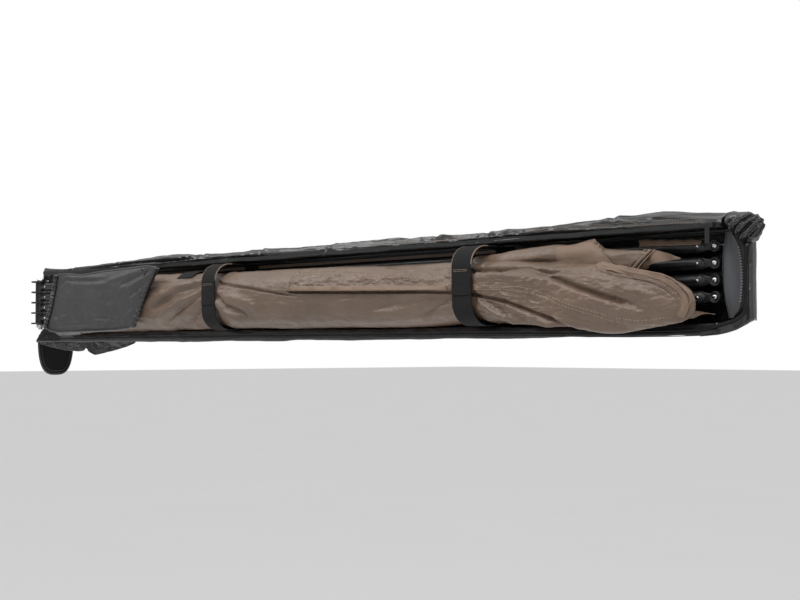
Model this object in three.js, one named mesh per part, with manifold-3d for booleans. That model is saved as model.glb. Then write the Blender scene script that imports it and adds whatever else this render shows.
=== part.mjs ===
// A fold-out awning for the side of a vehicle, stowed in its opened bag.
// Lengths are millimetres. +X runs to the vehicle's front, -Y outward, +Z up.
// The origin is the middle of the backboard's rear face.
import * as THREE from 'three';
import { mergeVertices } from 'three/addons/utils/BufferGeometryUtils.js';
import Module from 'manifold-3d';

const wasm = await Module();
wasm.setup();

// Clearances shared by every piece
const seat = 0.3;
const runGap = 0.5;
const bushGap = 0.4;
const looseGap = 2;
const layerGap = 0.9;
const overrun = 4;
const mergeStep = 1e-4;
const cornerShare = 0.92;

// Facets on round pieces
const tubeSides = 16;
const boreSides = 16;
const capSides = 24;

// Stack of four arms, hinged on one upright pin at the rear
const hubX = -1150;
const armY = -64;
const armReach = 2205;
const levelPitch = 28;
const stackMidZ = -1.5;
const levelSteps = [1.5, 0.5, -0.5, -1.5];
const armTubeR = 11;
const armTubeBoreR = 9;
const tipX = hubX + armReach;

// Hub
const plateThick = 4;
const plateR = 25;
const pinR = 6;
const pinHeadR = 10;
const pinHeadTall = 7;
const pinTail = 6;
const nutR = 11;
const nutTall = 9;
const knuckleR = 14;
const stubLong = 62;
const spineInset = 15;
const spineWide = 49;
const spineTop = 86;
const spineBottom = -64;
const footPlateLong = 54;
const footPlateThick = 14;

// Arm tip: a flat tongue with a round eye
const eyeR = 10;
const tongueThick = 8;
const neckTall = 11;
const neckLong = 28;
const plugLong = 50;
const plugOut = 30;
const boltR = 3.2;
const boltHeadR = 5;
const boltHeadTall = 3;
const boltHeadFlatR = 3;
const boltNutR = 6;
const boltNutTall = 4;
const spacerR = 7;

// Legs, folded back along the arms' inner side
const legY = -37.5;
const legTubeR = 10;
const legTubeBoreR = 8.5;
const legTubeLong = 980;
const legEyeNeck = 26;
const innerTubeR = 8.1;
const innerTubeBoreR = 6.5;
const innerClear = 14;
const innerShow = 45;
const collarR = 13;
const collarGroove = 0.7;
const collarRibs = 10;
const collarLong = 43;
const collarOver = 25;
const footR = 11.5;
const footLong = 34;
const footOver = 20;

// Backboard, an aluminium extrusion
const boardDeep = 22;
const boardTall = 150;
const boardPastHub = 70;
const boardPastTip = 33;
const boardRearX = hubX + boardPastHub;
const boardFrontX = tipX + boardPastTip;
const boardWall = 3;
const slotZ = 45;
const slotNeckHalf = 4.5;
const slotHeadHalf = 8.5;
const slotHeadDeep = 7;
const slotBackWall = 3;
const chamberHalf = 30;
const sideChamberHalf = 11;
const railGrooveTop = 66;
const railGrooveBottom = 62;
const railGrooveDeep = 4;

// Mounting brackets
const bracketX = 550;
const bracketWide = 60;
const bracketThick = 6;
const bracketTop = 66;
const bracketBottom = -80;
const bracketReach = 70;
const bracketSlotHalf = 4.5;
const bracketSlotLong = 30;
const bracketReliefDeep = 2.6;
const tBoltR = 4;
const tBoltHeadHalf = 7.5;
const tBoltHeadDeep = 5;
const tBoltNutTall = 7;
const tBoltNutR = 7.5;
const tBoltTail = 3;

// Bag
const fabric = 1.5;
const bagPastBoard = 4.5;
const bagRearX = boardRearX - bagPastBoard;
const bagBackTop = 50;
const floorZ = -86;
const floorThick = 2;
const lipY = -112;
const lipThick = 5;
const lipDrop = 25;
const endWallThick = 3;
const endWallTop = 36;
const rimOut = 39;
const rimY = -84;
const bulgeOut = 44;
const bulgeY = -60;
const rimReturn = 12;
const gussetTop = 62;
const gussetBottom = -78;
const gussetY = -66;
const gussetThick = 2;
const gussetPastTip = 15;
const gussetWide = 36;
const capWide = 106;
const capTall = 107;
const capThick = 4;
const capRim = 2;
const capRimWide = 9;
const capHang = 0.6;
const capSlit = 0.7;

// Bag cover, folded back along the top
const coverRearInset = 10;
const coverPastBoard = 4;
const coverRearX = boardRearX + coverRearInset;
const coverFrontX = boardFrontX + coverPastBoard;
const coverFrontY = -100;
const coverRearY = -2;
const coverLow = 66;
const coverHigh = 92;
const coverRise = 12;
const coverStations = 26;
const coverDipShare = 0.1;
const trackThick = 3;
const trackTall = 10;
const trackZ = 71;
const sliderLong = 22;
const sliderDeep = 5;
const sliderTall = 9;
const pullLong = 30;
const pullWide = 9;
const pullThick = 2;
const bunchGap = 4;
const bunchLong = 54;
const bunchRearX = coverFrontX + bunchGap;
const bunchFrontX = bunchRearX + bunchLong;
const bunchLow = 40;
const bunchHigh = 92;
const bunchFrontY = -98;
const bunchRearY = -32;
const bunchStations = 8;
const bunchTaperShare = 0.75;
const bunchCrownShare = 0.4;
const bunchLiftShares = [0.1, 0.3];

// Rolled canopy
const rollPastHub = 235;
const rollPastTip = 8;
const rollRearX = hubX + rollPastHub;
const rollFrontX = tipX + rollPastTip;
const rollBackY = -77;
const rollFrontY = -169;
const rollFloorGap = 0.6;
const rollKneeY = -126;
const rollKneeSlope = 1.5;
const rollBaseZ = floorZ;
const rollCoverGap = 12;
const rollTallZ = coverLow - rollCoverGap - rollBaseZ;
const rollFrontRadius = 47;
const rollRearRadius = 10;
const rollSwell = 6;
const rollStations = 44;
const rollFoldDepthShare = 0.045;
const rollFolds = 5;
const rollTwist = 1.5;

// Outline of the roll: share of its length, then share of its height
const rollTopShares = [
  [0, 0.93], [0.2, 0.97], [0.28, 0.96], [0.35, 0.9], [0.47, 0.92], [0.64, 0.89],
  [0.72, 0.87], [0.775, 0.84], [0.82, 0.82], [0.87, 0.76], [0.92, 0.67], [0.966, 0.57],
  [0.982, 0.48], [0.994, 0.4], [1, 0.3],
];
const rollBottomShares = [
  [0, -0.09], [0.17, 0.01], [0.36, 0.03], [0.5, 0.01], [0.65, -0.02], [0.73, 0.04],
  [0.78, 0.03], [0.84, -0.04], [0.88, -0.11], [0.905, -0.13], [0.935, -0.09],
  [0.965, -0.04], [0.99, 0.04], [1, 0.16],
];
const rollFrontShares = [
  [0, 0.9], [0.5, 1], [0.76, 1], [0.8, 0.9], [0.97, 0.84], [1, 0.7],
];

// Lower fold, a loose layer in front of the roll's forward end
const lowerFoldInset = 63;
const lowerFoldLong = 388;
const lowerFoldFrontX = rollFrontX - lowerFoldInset;
const lowerFoldRearX = lowerFoldFrontX - lowerFoldLong;
const lowerFoldThick = 6;
const lowerFoldTopShares = [
  [0, 0.66], [0.25, 0.7], [0.42, 0.62], [0.6, 0.5], [0.78, 0.38], [1, 0.12],
];
const lowerFoldBottomShares = [
  [0, 0.2], [0.2, 0.05], [0.4, -0.04], [0.65, -0.12], [0.85, -0.09], [1, -0.02],
];
const lowerFoldStations = 16;
const lowerFoldRadius = 2.8;
const lowerFoldEdgeShare = 0.1;

// Upper fold, a layer that stands above the roll's forward end
const upperFoldInset = 88;
const upperFoldLong = 363;
const upperFoldFrontX = rollFrontX - upperFoldInset;
const upperFoldRearX = upperFoldFrontX - upperFoldLong;
const upperFoldBackY = -78;
const upperFoldFrontY = -122;
const upperFoldCoverGap = 5;
const upperFoldTopZ = coverLow - upperFoldCoverGap;
const upperFoldDropZ = 27;
const upperFoldTopShares = [
  [0, 0.4], [0.25, 0.68], [0.54, 0.88], [0.64, 0.97], [0.72, 0.3], [1, 0.2],
];
const upperFoldStations = 14;
const upperFoldRadius = 2.4;

// Canopy edge seated on the top arm
const hemBehindTip = 37;
const hemLong = 156;
const hemFrontX = tipX - hemBehindTip;
const hemRearX = hemFrontX - hemLong;
const hemHalfWide = 9;
const hemTall = 6;
const hemRadius = 2.8;

// Straps round the roll
const strapPlaceShares = { strap_rear: 0.3549, strap_front: 0.7548 };
const strapWide = 50;
const strapThick = 2;
const strapFrontY = -173;
const strapBackY = -50.2;
const strapCoverGap = 4;
const strapFloorGap = 0.6;
const strapTopZ = coverLow - strapCoverGap;
const strapBottomZ = floorZ + strapFloorGap;
const strapFrontRadius = 44;
const strapRearRadius = 7;
const strapPinch = 85;
const keeperLong = 60;
const keeperThick = 1.5;
const keeperZ = 26;
const tabPlaceShare = 0.2957;
const tabWide = 58;
const tabTall = 15;
const tabThick = 2;
const tabY = -86;

// Pouch for pegs and ropes
const pouchY = -172.3;
const pouchTopRearX = -844;
const pouchTopFrontX = -411;
const pouchBottomRearX = -902;
const pouchBottomFrontX = -510;
const pouchTopZ = 61;
const pouchBottomZ = -86;
const pouchThick = 9;
const pouchColumns = 16;
const pouchRows = 10;
const pouchEdgeShare = 0.22;
const pouchDrawInShare = 0.035;

const finish = (color, roughness, metalness) =>
  new THREE.MeshStandardMaterial({ color, roughness, metalness });
const finishes = {
  powderCoat: finish(0x1b1b1c, 0.42, 0.3),
  steel: finish(0xc8c8c6, 0.25, 1),
  nylon: finish(0x202021, 0.5, 0),
  rubber: finish(0x161616, 0.85, 0),
  vinyl: finish(0x18191a, 0.32, 0),
  vinylLining: finish(0x6f7377, 0.5, 0),
  canopy: finish(0x7b6b5e, 0.7, 0),
  webbing: finish(0x232324, 0.85, 0),
  pouch: finish(0x4a4b4d, 0.6, 0),
};

const root = new THREE.Group();

function add(parent, name, geometry, material) {
  const mesh = new THREE.Mesh(geometry, material);
  mesh.name = name;
  parent.add(mesh);
  return mesh;
}

function group(parent, x, y, z) {
  const frame = new THREE.Group();
  frame.position.set(x, y, z);
  parent.add(frame);
  return frame;
}

// Closed shapes drawn in two coordinates
function outline(points) {
  return new THREE.Shape(points.map(([u, v]) => new THREE.Vector2(u, v)));
}

function rectangle(u0, v0, u1, v1) {
  return outline([[u0, v0], [u1, v0], [u1, v1], [u0, v1]]);
}

function roundPoints(radius, sides, centreU = 0, centreV = 0) {
  return Array.from({ length: sides }, (_, i) => {
    const angle = (2 * Math.PI * i) / sides;
    return [centreU + radius * Math.cos(angle), centreV + radius * Math.sin(angle)];
  });
}

function disc(radius, sides = boreSides, centreU = 0, centreV = 0) {
  return outline(roundPoints(radius, sides, centreU, centreV));
}

function withHoles(shape, holes) {
  shape.holes.push(...holes);
  return shape;
}

// Prisms along each axis; the shape's two coordinates are the other two axes
function prism(shape, from, to, basis) {
  const geometry = new THREE.ExtrudeGeometry(shape, { depth: to - from, bevelEnabled: false });
  geometry.translate(0, 0, from);
  geometry.applyMatrix4(basis);
  return geometry;
}

const axisX = new THREE.Vector3(1, 0, 0);
const axisY = new THREE.Vector3(0, 1, 0);
const axisZ = new THREE.Vector3(0, 0, 1);
const downY = axisY.clone().negate();
const intoX = new THREE.Matrix4().makeBasis(axisY, axisZ, axisX);
const intoY = new THREE.Matrix4().makeBasis(axisX, axisZ, downY);
const intoZ = new THREE.Matrix4();

const prismX = (shape, from, to) => prism(shape, from, to, intoX);
const prismY = (shape, from, to) => prism(shape, -to, -from, intoY);
const prismZ = (shape, from, to) => prism(shape, from, to, intoZ);

function ring(outerR, innerR, sides) {
  return withHoles(disc(outerR, sides), [disc(innerR, sides)]);
}

// Boolean joins and cuts
function toSolid(geometry) {
  const bare = geometry.clone();
  bare.deleteAttribute('normal');
  bare.deleteAttribute('uv');
  const merged = mergeVertices(bare, mergeStep);
  return new wasm.Manifold(new wasm.Mesh({
    numProp: 3,
    vertProperties: Float32Array.from(merged.attributes.position.array),
    triVerts: Uint32Array.from(merged.index.array),
  }));
}

function toGeometry(solid) {
  const mesh = solid.getMesh();
  const geometry = new THREE.BufferGeometry();
  geometry.setAttribute('position', new THREE.BufferAttribute(mesh.vertProperties, 3));
  geometry.setIndex(new THREE.BufferAttribute(mesh.triVerts, 1));
  geometry.computeVertexNormals();
  return geometry;
}

function join(first, ...others) {
  return toGeometry(others.reduce((all, one) => all.add(toSolid(one)), toSolid(first)));
}

function cut(body, ...tools) {
  return toGeometry(tools.reduce((left, one) => left.subtract(toSolid(one)), toSolid(body)));
}

// Value at a place in a table of shares
function shareAt(table, place) {
  const next = table.findIndex(([start]) => start >= place);
  if (next <= 0) return table[Math.max(next, 0)][1];
  const [u0, v0] = table[next - 1];
  const [u1, v1] = table[next];
  const blend = (place - u0) / (u1 - u0);
  const eased = blend * blend * (3 - 2 * blend);
  return v0 + (v1 - v0) * eased;
}

// A closed skin through rings of points, with a fan at each end
function loft(rings) {
  const sides = rings[0].length;
  const points = rings.flat();
  const faces = [];
  const at = (ringIndex, side) => ringIndex * sides + (side % sides);
  for (let r = 0; r + 1 < rings.length; r += 1) {
    for (let s = 0; s < sides; s += 1) {
      faces.push(at(r, s), at(r, s + 1), at(r + 1, s + 1));
      faces.push(at(r, s), at(r + 1, s + 1), at(r + 1, s));
    }
  }
  const last = rings.length - 1;
  const first = points.push(middle(rings[0])) - 1;
  const end = points.push(middle(rings[last])) - 1;
  for (let s = 0; s < sides; s += 1) {
    faces.push(first, at(0, s + 1), at(0, s));
    faces.push(end, at(last, s), at(last, s + 1));
  }
  return outward(points, faces);
}

function middle(points) {
  const sum = points.reduce((all, p) => all.map((value, i) => value + p[i]), [0, 0, 0]);
  return sum.map((value) => value / points.length);
}

function outward(points, faces) {
  let volume = 0;
  for (let i = 0; i < faces.length; i += 3) {
    const [a, b, c] = [0, 1, 2].map((k) => new THREE.Vector3(...points[faces[i + k]]));
    volume += a.dot(b.cross(c));
  }
  const turned = volume < 0 ? [...faces].reverse() : faces;
  const geometry = new THREE.BufferGeometry();
  geometry.setAttribute('position', new THREE.Float32BufferAttribute(points.flat(), 3));
  geometry.setIndex(turned);
  geometry.computeVertexNormals();
  return geometry;
}

// Points round a section with round corners, drawn in Y and Z
function roundedSection(box, cornerSteps, sideSteps) {
  const { back, front, bottom, top } = box;
  const tallest = (cornerShare * (top - bottom)) / 2;
  const rear = Math.min(box.rearRadius, tallest);
  const fore = Math.min(box.frontRadius, tallest);
  const corners = [
    { y: back - rear, z: top - rear, r: rear, from: 0 },
    { y: front + fore, z: top - fore, r: fore, from: 1 },
    { y: front + fore, z: bottom + fore, r: fore, from: 2 },
    { y: back - rear, z: bottom + rear, r: rear, from: 3 },
  ];
  const quarter = Math.PI / 2;
  const arcs = corners.map(({ y, z, r, from }) =>
    Array.from({ length: cornerSteps + 1 }, (_, i) => {
      const angle = quarter * (from + i / cornerSteps);
      return [y + r * Math.cos(angle), z + r * Math.sin(angle)];
    }));
  return arcs.flatMap((arc, k) => {
    const [y0, z0] = arc[arc.length - 1];
    const [y1, z1] = arcs[(k + 1) % arcs.length][0];
    const side = Array.from({ length: sideSteps - 1 }, (_, i) => {
      const part = (i + 1) / sideSteps;
      return [y0 + (y1 - y0) * part, z0 + (z1 - z0) * part];
    });
    return [...arc, ...side];
  });
}

function alongX(rearX, frontX, stations, sectionAt) {
  return loft(Array.from({ length: stations }, (_, i) => {
    const place = i / (stations - 1);
    const x = rearX + (frontX - rearX) * place;
    return sectionAt(place, x).map(([y, z]) => [x, y, z]);
  }));
}

// Hub
const knuckleTall = levelPitch - plateThick - 2 * runGap;
const levelZ = (step) => stackMidZ + step * levelPitch;
const plateSteps = [2, 1, 0, -1, -2];
const topPlateZ = levelZ(plateSteps[0]) + plateThick / 2;
const bottomPlateZ = levelZ(plateSteps[plateSteps.length - 1]) - plateThick / 2;
const pinHoleR = pinR + bushGap;

function hubPlate(z) {
  const low = z - plateThick / 2;
  const high = z + plateThick / 2;
  const round = prismZ(disc(plateR, capSides), low, high);
  const web = prismZ(rectangle(0, 0, spineInset + overrun, spineInset + overrun), low, high);
  return join(round, web);
}

function hubBracket() {
  const far = spineInset + spineWide;
  const spine = prismZ(
    rectangle(spineInset, spineInset, far, -armY), spineBottom, spineTop);
  const wallFront = boardDeep + seat + fabric + seat;
  const footBack = -armY - wallFront;
  const foot = prismZ(
    rectangle(far - overrun, footBack - footPlateThick, far + footPlateLong, footBack),
    spineBottom, bagBackTop);
  const plates = plateSteps.map((step) => hubPlate(levelZ(step)));
  const body = join(spine, foot, ...plates);
  return cut(body, prismZ(disc(pinHoleR), bottomPlateZ - overrun, topPlateZ + overrun));
}

function hubPin() {
  const tail = bottomPlateZ - nutTall - pinTail;
  const headZ = topPlateZ + seat;
  const shank = prismZ(disc(pinR), tail, headZ + overrun);
  const head = prismZ(disc(pinHeadR), headZ, headZ + pinHeadTall);
  return join(shank, head);
}

function hubNut() {
  const top = bottomPlateZ - seat;
  const hexagon = withHoles(disc(nutR, 6), [disc(pinHoleR)]);
  return prismZ(hexagon, top - nutTall, top);
}

function knuckle() {
  const barrel = prismZ(disc(knuckleR, capSides), -knuckleTall / 2, knuckleTall / 2);
  const stub = prismX(disc(armTubeBoreR - seat, tubeSides), 0, stubLong);
  const bore = prismZ(disc(pinHoleR), -knuckleTall, knuckleTall);
  return cut(join(barrel, stub), bore);
}

// Arm tube and tip
const armTubeStart = knuckleR + looseGap;
const armTubeEnd = armReach - plugOut;

function armTube() {
  return prismX(ring(armTubeR, armTubeBoreR, tubeSides), armTubeStart, armTubeEnd);
}

function eyeTongue(neckEnd) {
  const [near, far] = [Math.min(0, neckEnd), Math.max(0, neckEnd)];
  const half = tongueThick / 2;
  const neck = prismY(rectangle(near, -neckTall / 2, far, neckTall / 2), -half, half);
  const round = prismY(disc(eyeR, capSides), -half, half);
  return join(neck, round);
}

function boltHole() {
  return prismY(disc(boltR + seat), -tongueThick, tongueThick);
}

function armTip() {
  const plug = prismX(disc(armTubeBoreR - seat, tubeSides), -plugOut - plugLong, -neckLong);
  return cut(join(eyeTongue(-neckLong - overrun), plug), boltHole());
}

function legPivotBolt() {
  const half = tongueThick / 2;
  const apart = legY - armY;
  const headY = -half - seat;
  const nutY = apart + half + seat;
  const along = [
    [0, headY - boltHeadTall], [boltHeadFlatR, headY - boltHeadTall], [boltHeadR, headY],
    [boltR, headY], [boltR, half + seat], [spacerR, half + seat],
    [spacerR, apart - half - seat], [boltR, apart - half - seat], [boltR, nutY],
    [boltNutR, nutY], [boltNutR, nutY + boltNutTall], [0, nutY + boltNutTall],
  ];
  const profile = along.map(([r, y]) => new THREE.Vector2(r, y));
  return toGeometry(toSolid(new THREE.LatheGeometry(profile, tubeSides)));
}

// Legs: x runs from the pivot towards the foot, in the minus direction
const legTubeStart = -legEyeNeck;
const legTubeEnd = legTubeStart - legTubeLong;
const innerEnd = legTubeEnd - innerShow;
const innerLong = legTubeLong + innerShow - plugLong - innerClear;
const collarStart = legTubeEnd + collarOver;

function legEye() {
  const plug = prismX(disc(legTubeBoreR - seat, tubeSides), legTubeStart - plugLong, -neckLong / 2);
  return cut(join(eyeTongue(-neckLong), plug), boltHole(), eyeTrim());
}

function eyeTrim() {
  const reach = plugLong + neckLong;
  const around = withHoles(disc(armTubeR + overrun), [disc(legTubeBoreR - seat, tubeSides)]);
  return prismX(around, legTubeStart - reach, legTubeStart + seat);
}

function legOuter() {
  return prismX(ring(legTubeR, legTubeBoreR, tubeSides), legTubeEnd, legTubeStart);
}

function legInner() {
  return prismX(ring(innerTubeR, innerTubeBoreR, tubeSides), innerEnd, innerEnd + innerLong);
}

function ribbedDisc() {
  const steps = 4 * collarRibs;
  const points = Array.from({ length: steps }, (_, i) => {
    const angle = (2 * Math.PI * i) / steps;
    const radius = i % 4 < 2 ? collarR : collarR - collarGroove;
    return [radius * Math.cos(angle), radius * Math.sin(angle)];
  });
  return outline(points);
}

function lockCollar() {
  const end = collarStart - collarLong;
  const body = prismX(ribbedDisc(), end, collarStart);
  const outerBore = prismX(disc(legTubeR + bushGap), legTubeEnd - seat, collarStart + overrun);
  const innerBore = prismX(disc(innerTubeR + bushGap), end - overrun, collarStart);
  return cut(body, outerBore, innerBore);
}

function legFoot() {
  const start = innerEnd + footOver;
  const body = prismX(disc(footR, boreSides), start - footLong, start);
  const socket = prismX(disc(innerTubeR + seat), innerEnd - seat, start + overrun);
  return cut(body, socket);
}

// Backboard and brackets
function backboard() {
  const top = boardTall / 2;
  const neckDeep = slotBackWall;
  const headDeep = neckDeep + slotHeadDeep;
  const slotPoints = (z) => [
    [0, z - slotNeckHalf], [-neckDeep, z - slotNeckHalf], [-neckDeep, z - slotHeadHalf],
    [-headDeep, z - slotHeadHalf], [-headDeep, z + slotHeadHalf], [-neckDeep, z + slotHeadHalf],
    [-neckDeep, z + slotNeckHalf], [0, z + slotNeckHalf],
  ];
  const profile = outline([
    [0, -top], ...slotPoints(-slotZ), ...slotPoints(slotZ), [0, top], [-boardDeep, top],
    [-boardDeep, railGrooveTop], [railGrooveDeep - boardDeep, railGrooveTop],
    [railGrooveDeep - boardDeep, railGrooveBottom], [-boardDeep, railGrooveBottom],
    [-boardDeep, -top],
  ]);
  const front = boardWall - boardDeep;
  const chamber = (low, high, back) => rectangle(front, low, back, high);
  return prismX(withHoles(profile, [
    chamber(-chamberHalf, chamberHalf, -boardWall),
    chamber(-slotZ - sideChamberHalf, -slotZ + sideChamberHalf, -headDeep - boardWall),
    chamber(slotZ - sideChamberHalf, slotZ + sideChamberHalf, -headDeep - boardWall),
  ]), boardRearX, boardFrontX);
}

function mountBracket() {
  const half = bracketWide / 2;
  const back = seat + bracketThick;
  const upright = prismX(rectangle(seat, bracketBottom, back, bracketTop), -half, half);
  const shelf = prismX(
    rectangle(seat, bracketBottom - bracketThick, bracketReach, bracketBottom), -half, half);
  const hole = prismY(disc(tBoltR + bushGap, boreSides, 0, slotZ), -overrun, back + overrun);
  const stripHalf = slotZ - slotNeckHalf + runGap;
  const relief = prismX(
    rectangle(-overrun, -stripHalf, seat + bracketReliefDeep, stripHalf),
    -half - overrun, half + overrun);
  const slotMiddle = (back + bracketReach) / 2;
  const slot = prismZ(
    rectangle(-bracketSlotHalf, slotMiddle - bracketSlotLong / 2,
      bracketSlotHalf, slotMiddle + bracketSlotLong / 2),
    bracketBottom - bracketThick - overrun, bracketBottom + overrun);
  return cut(join(upright, shelf), hole, relief, slot);
}

function bracketBolt() {
  const headBack = -slotBackWall - seat;
  const washer = seat + bracketThick + seat;
  const head = prismY(
    rectangle(-tBoltHeadHalf, slotZ - tBoltHeadHalf, tBoltHeadHalf, slotZ + tBoltHeadHalf),
    headBack - tBoltHeadDeep, headBack);
  const shank = prismY(
    disc(tBoltR, tubeSides, 0, slotZ), headBack - seat, washer + tBoltNutTall + tBoltTail);
  const nut = prismY(disc(tBoltNutR, 6, 0, slotZ), washer, washer + tBoltNutTall);
  return join(head, shank, nut);
}

// Bag
const wallBack = -boardDeep - seat;
const wallFace = wallBack - fabric;

function bagTray() {
  const lipBack = lipY + lipThick;
  const floorUnder = floorZ - floorThick;
  return prismX(outline([
    [wallBack, bagBackTop], [wallBack, floorUnder], [lipBack, floorUnder],
    [lipBack, floorZ - lipDrop], [lipY, floorZ - lipDrop], [lipY, floorZ],
    [wallFace, floorZ], [wallFace, bagBackTop],
  ]), bagRearX, boardFrontX);
}

const endRearX = boardFrontX + seat;
const rimX = boardFrontX + rimOut;
const bulgeX = boardFrontX + bulgeOut;

function bagFrontEnd() {
  const inner = endWallThick;
  const plan = outline([
    [endRearX, -seat], [endRearX + inner, -seat], [bulgeX, bulgeY], [rimX, rimY - inner],
    [rimX - rimReturn, rimY - inner], [rimX - rimReturn, rimY], [rimX - inner, rimY],
    [bulgeX - inner, bulgeY], [endRearX, -seat - inner],
  ]);
  return prismZ(plan, floorZ - floorThick, endWallTop);
}

function frontGusset() {
  const mid = (gussetTop + gussetBottom) / 2;
  const half = (gussetTop - gussetBottom) / 2;
  const steps = 10;
  const bow = (place, depth) => depth * (1 - place * place);
  const rising = Array.from({ length: steps + 1 }, (_, i) => (2 * i) / steps - 1);
  const middleX = tipX + gussetPastTip + gussetWide / 2;
  const right = rising.map((p) => [middleX + bow(p, gussetWide / 2), mid + half * p]);
  const left = rising.slice(1, -1).reverse()
    .map((p) => [middleX - bow(p, gussetWide / 2), mid + half * p]);
  const lens = prismY(outline([...right, ...left]), gussetY, gussetY + gussetThick);
  const tongueWide = gussetWide / 3;
  const tongue = prismY(
    rectangle(middleX - tongueWide / 2, floorZ + seat, middleX + tongueWide / 2, mid),
    gussetY, gussetY + gussetThick);
  return join(lens, tongue);
}

function capOutline(inset) {
  const half = capWide / 2 - inset;
  const bottom = -capTall + inset;
  const shoulder = -capTall + capWide / 2;
  const steps = 12;
  const arc = Array.from({ length: steps + 1 }, (_, i) => {
    const angle = (Math.PI * i) / steps;
    return [-half * Math.cos(angle), shoulder + (bottom - shoulder) * Math.sin(angle)];
  });
  return outline([[-half, -inset], ...arc, [half, -inset]]);
}

function rearEndCap() {
  const plate = prismX(capOutline(0), -capThick, 0);
  const recess = prismX(capOutline(capRimWide), -capRim, overrun);
  return cut(plate, recess);
}

function coverSection(place) {
  const along = place * (1 + 2 * coverDipShare) - coverDipShare;
  const rise = coverRise * Math.sin(Math.PI * Math.min(1, along) / 2);
  const top = coverHigh + rise;
  const boardTop = boardTall / 2 + seat;
  const step = -boardDeep - looseGap;
  const mid = (coverFrontY + coverRearY) / 2;
  return [
    [coverRearY, boardTop], [coverRearY, coverHigh - coverRise], [mid / 2, top - seat],
    [mid, top], [(mid + coverFrontY) / 2, top - seat], [coverFrontY + looseGap, coverHigh],
    [coverFrontY, coverHigh - coverRise], [coverFrontY, coverLow],
    [mid, coverLow + seat], [step - overrun, coverLow + looseGap], [step, boardTop],
  ];
}

function bagCover() {
  return alongX(coverRearX, coverFrontX, coverStations, coverSection);
}

const trackBack = coverFrontY - seat;

function zipTrack() {
  const shape = rectangle(trackBack - trackThick, trackZ - trackTall / 2,
    trackBack, trackZ + trackTall / 2);
  return prismX(shape, coverRearX, coverFrontX);
}

function zipSlider() {
  const back = trackBack - trackThick - seat;
  const half = sliderLong / 2;
  const body = prismX(
    rectangle(back - sliderDeep, trackZ - sliderTall / 2, back, trackZ + sliderTall / 2),
    -half, half);
  const pull = prismY(
    rectangle(-pullWide / 2, trackZ - pullLong, pullWide / 2, trackZ),
    back - sliderDeep, back - sliderDeep + pullThick);
  return join(body, pull);
}

function coverBunch() {
  const high = bunchHigh - bunchLow;
  const [liftRear, liftFront] = bunchLiftShares;
  return alongX(bunchRearX, bunchFrontX, bunchStations, (place) => {
    const round = Math.sqrt(1 - bunchTaperShare * place * place);
    return roundedSection({
      back: bunchRearY,
      front: bunchFrontY,
      bottom: bunchLow + high * (liftRear + (liftFront - liftRear) * place),
      top: bunchHigh - high * bunchCrownShare * (1 - round),
      rearRadius: high / 4,
      frontRadius: high / 3,
    }, 3, 2);
  });
}

// Canopy
const rollLong = rollFrontX - rollRearX;
const strapX = (name) => rollRearX + rollLong * strapPlaceShares[name];
const tabX = rollRearX + rollLong * tabPlaceShare;

function pinchAt(x) {
  return Object.keys(strapPlaceShares).reduce((most, name) => {
    const off = Math.abs(x - strapX(name)) / strapPinch;
    return Math.max(most, off < 1 ? (1 + Math.cos(Math.PI * off)) / 2 : 0);
  }, 0);
}

const rollPlace = (x) => (x - rollRearX) / rollLong;
const rollTopAt = (x) => rollBaseZ + rollTallZ * shareAt(rollTopShares, rollPlace(x));

function rollFrontAt(x) {
  const deep = rollBackY - rollFrontY;
  const swell = rollSwell * (1 - pinchAt(x)) * (x < strapX('strap_front') ? 1 : 0);
  return rollBackY - deep * shareAt(rollFrontShares, rollPlace(x)) - swell;
}

function rollFloor(y) {
  const low = floorZ + rollFloorGap;
  return y > rollKneeY ? low : low - (rollKneeY - y) * rollKneeSlope;
}

function folded(section, box, place) {
  const midY = (box.back + box.front) / 2;
  const midZ = (box.bottom + box.top) / 2;
  return section.map(([y, z], i) => {
    const turn = rollFolds * (i / section.length) + rollTwist * place;
    const wave = (1 + Math.sin(2 * Math.PI * turn)) / 2;
    const scale = y > box.back - rollRearRadius ? 1 : 1 - rollFoldDepthShare * wave;
    const foldedY = midY + (y - midY) * scale;
    return [foldedY, Math.max(midZ + (z - midZ) * scale, rollFloor(foldedY))];
  });
}

function canopyRoll() {
  return alongX(rollRearX, rollFrontX, rollStations, (place, x) => {
    const box = {
      back: rollBackY,
      front: rollFrontAt(x),
      bottom: rollBaseZ + rollTallZ * shareAt(rollBottomShares, place),
      top: rollTopAt(x),
      frontRadius: rollFrontRadius,
      rearRadius: rollRearRadius,
    };
    return folded(roundedSection(box, 4, 3), box, place);
  });
}

function lowerFold() {
  return alongX(lowerFoldRearX, lowerFoldFrontX, lowerFoldStations, (place, x) => {
    const inward = lowerFoldEdgeShare + (1 - 2 * lowerFoldEdgeShare) * place;
    const back = rollFrontAt(x) - layerGap;
    return roundedSection({
      back,
      front: back - lowerFoldThick * (1 + Math.sin(Math.PI * inward)) / 2,
      bottom: rollBaseZ + rollTallZ * shareAt(lowerFoldBottomShares, place),
      top: rollBaseZ + rollTallZ * shareAt(lowerFoldTopShares, place),
      frontRadius: lowerFoldRadius / 2,
      rearRadius: lowerFoldRadius / 2,
    }, 2, 4);
  });
}

function upperFold() {
  return alongX(upperFoldRearX, upperFoldFrontX, upperFoldStations, (place, x) => roundedSection({
    back: upperFoldBackY,
    front: upperFoldFrontY,
    bottom: rollTopAt(x) + layerGap,
    top: upperFoldTopZ - upperFoldDropZ * (1 - shareAt(upperFoldTopShares, place)),
    frontRadius: upperFoldRadius,
    rearRadius: upperFoldRadius,
  }, 2, 3));
}

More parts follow.
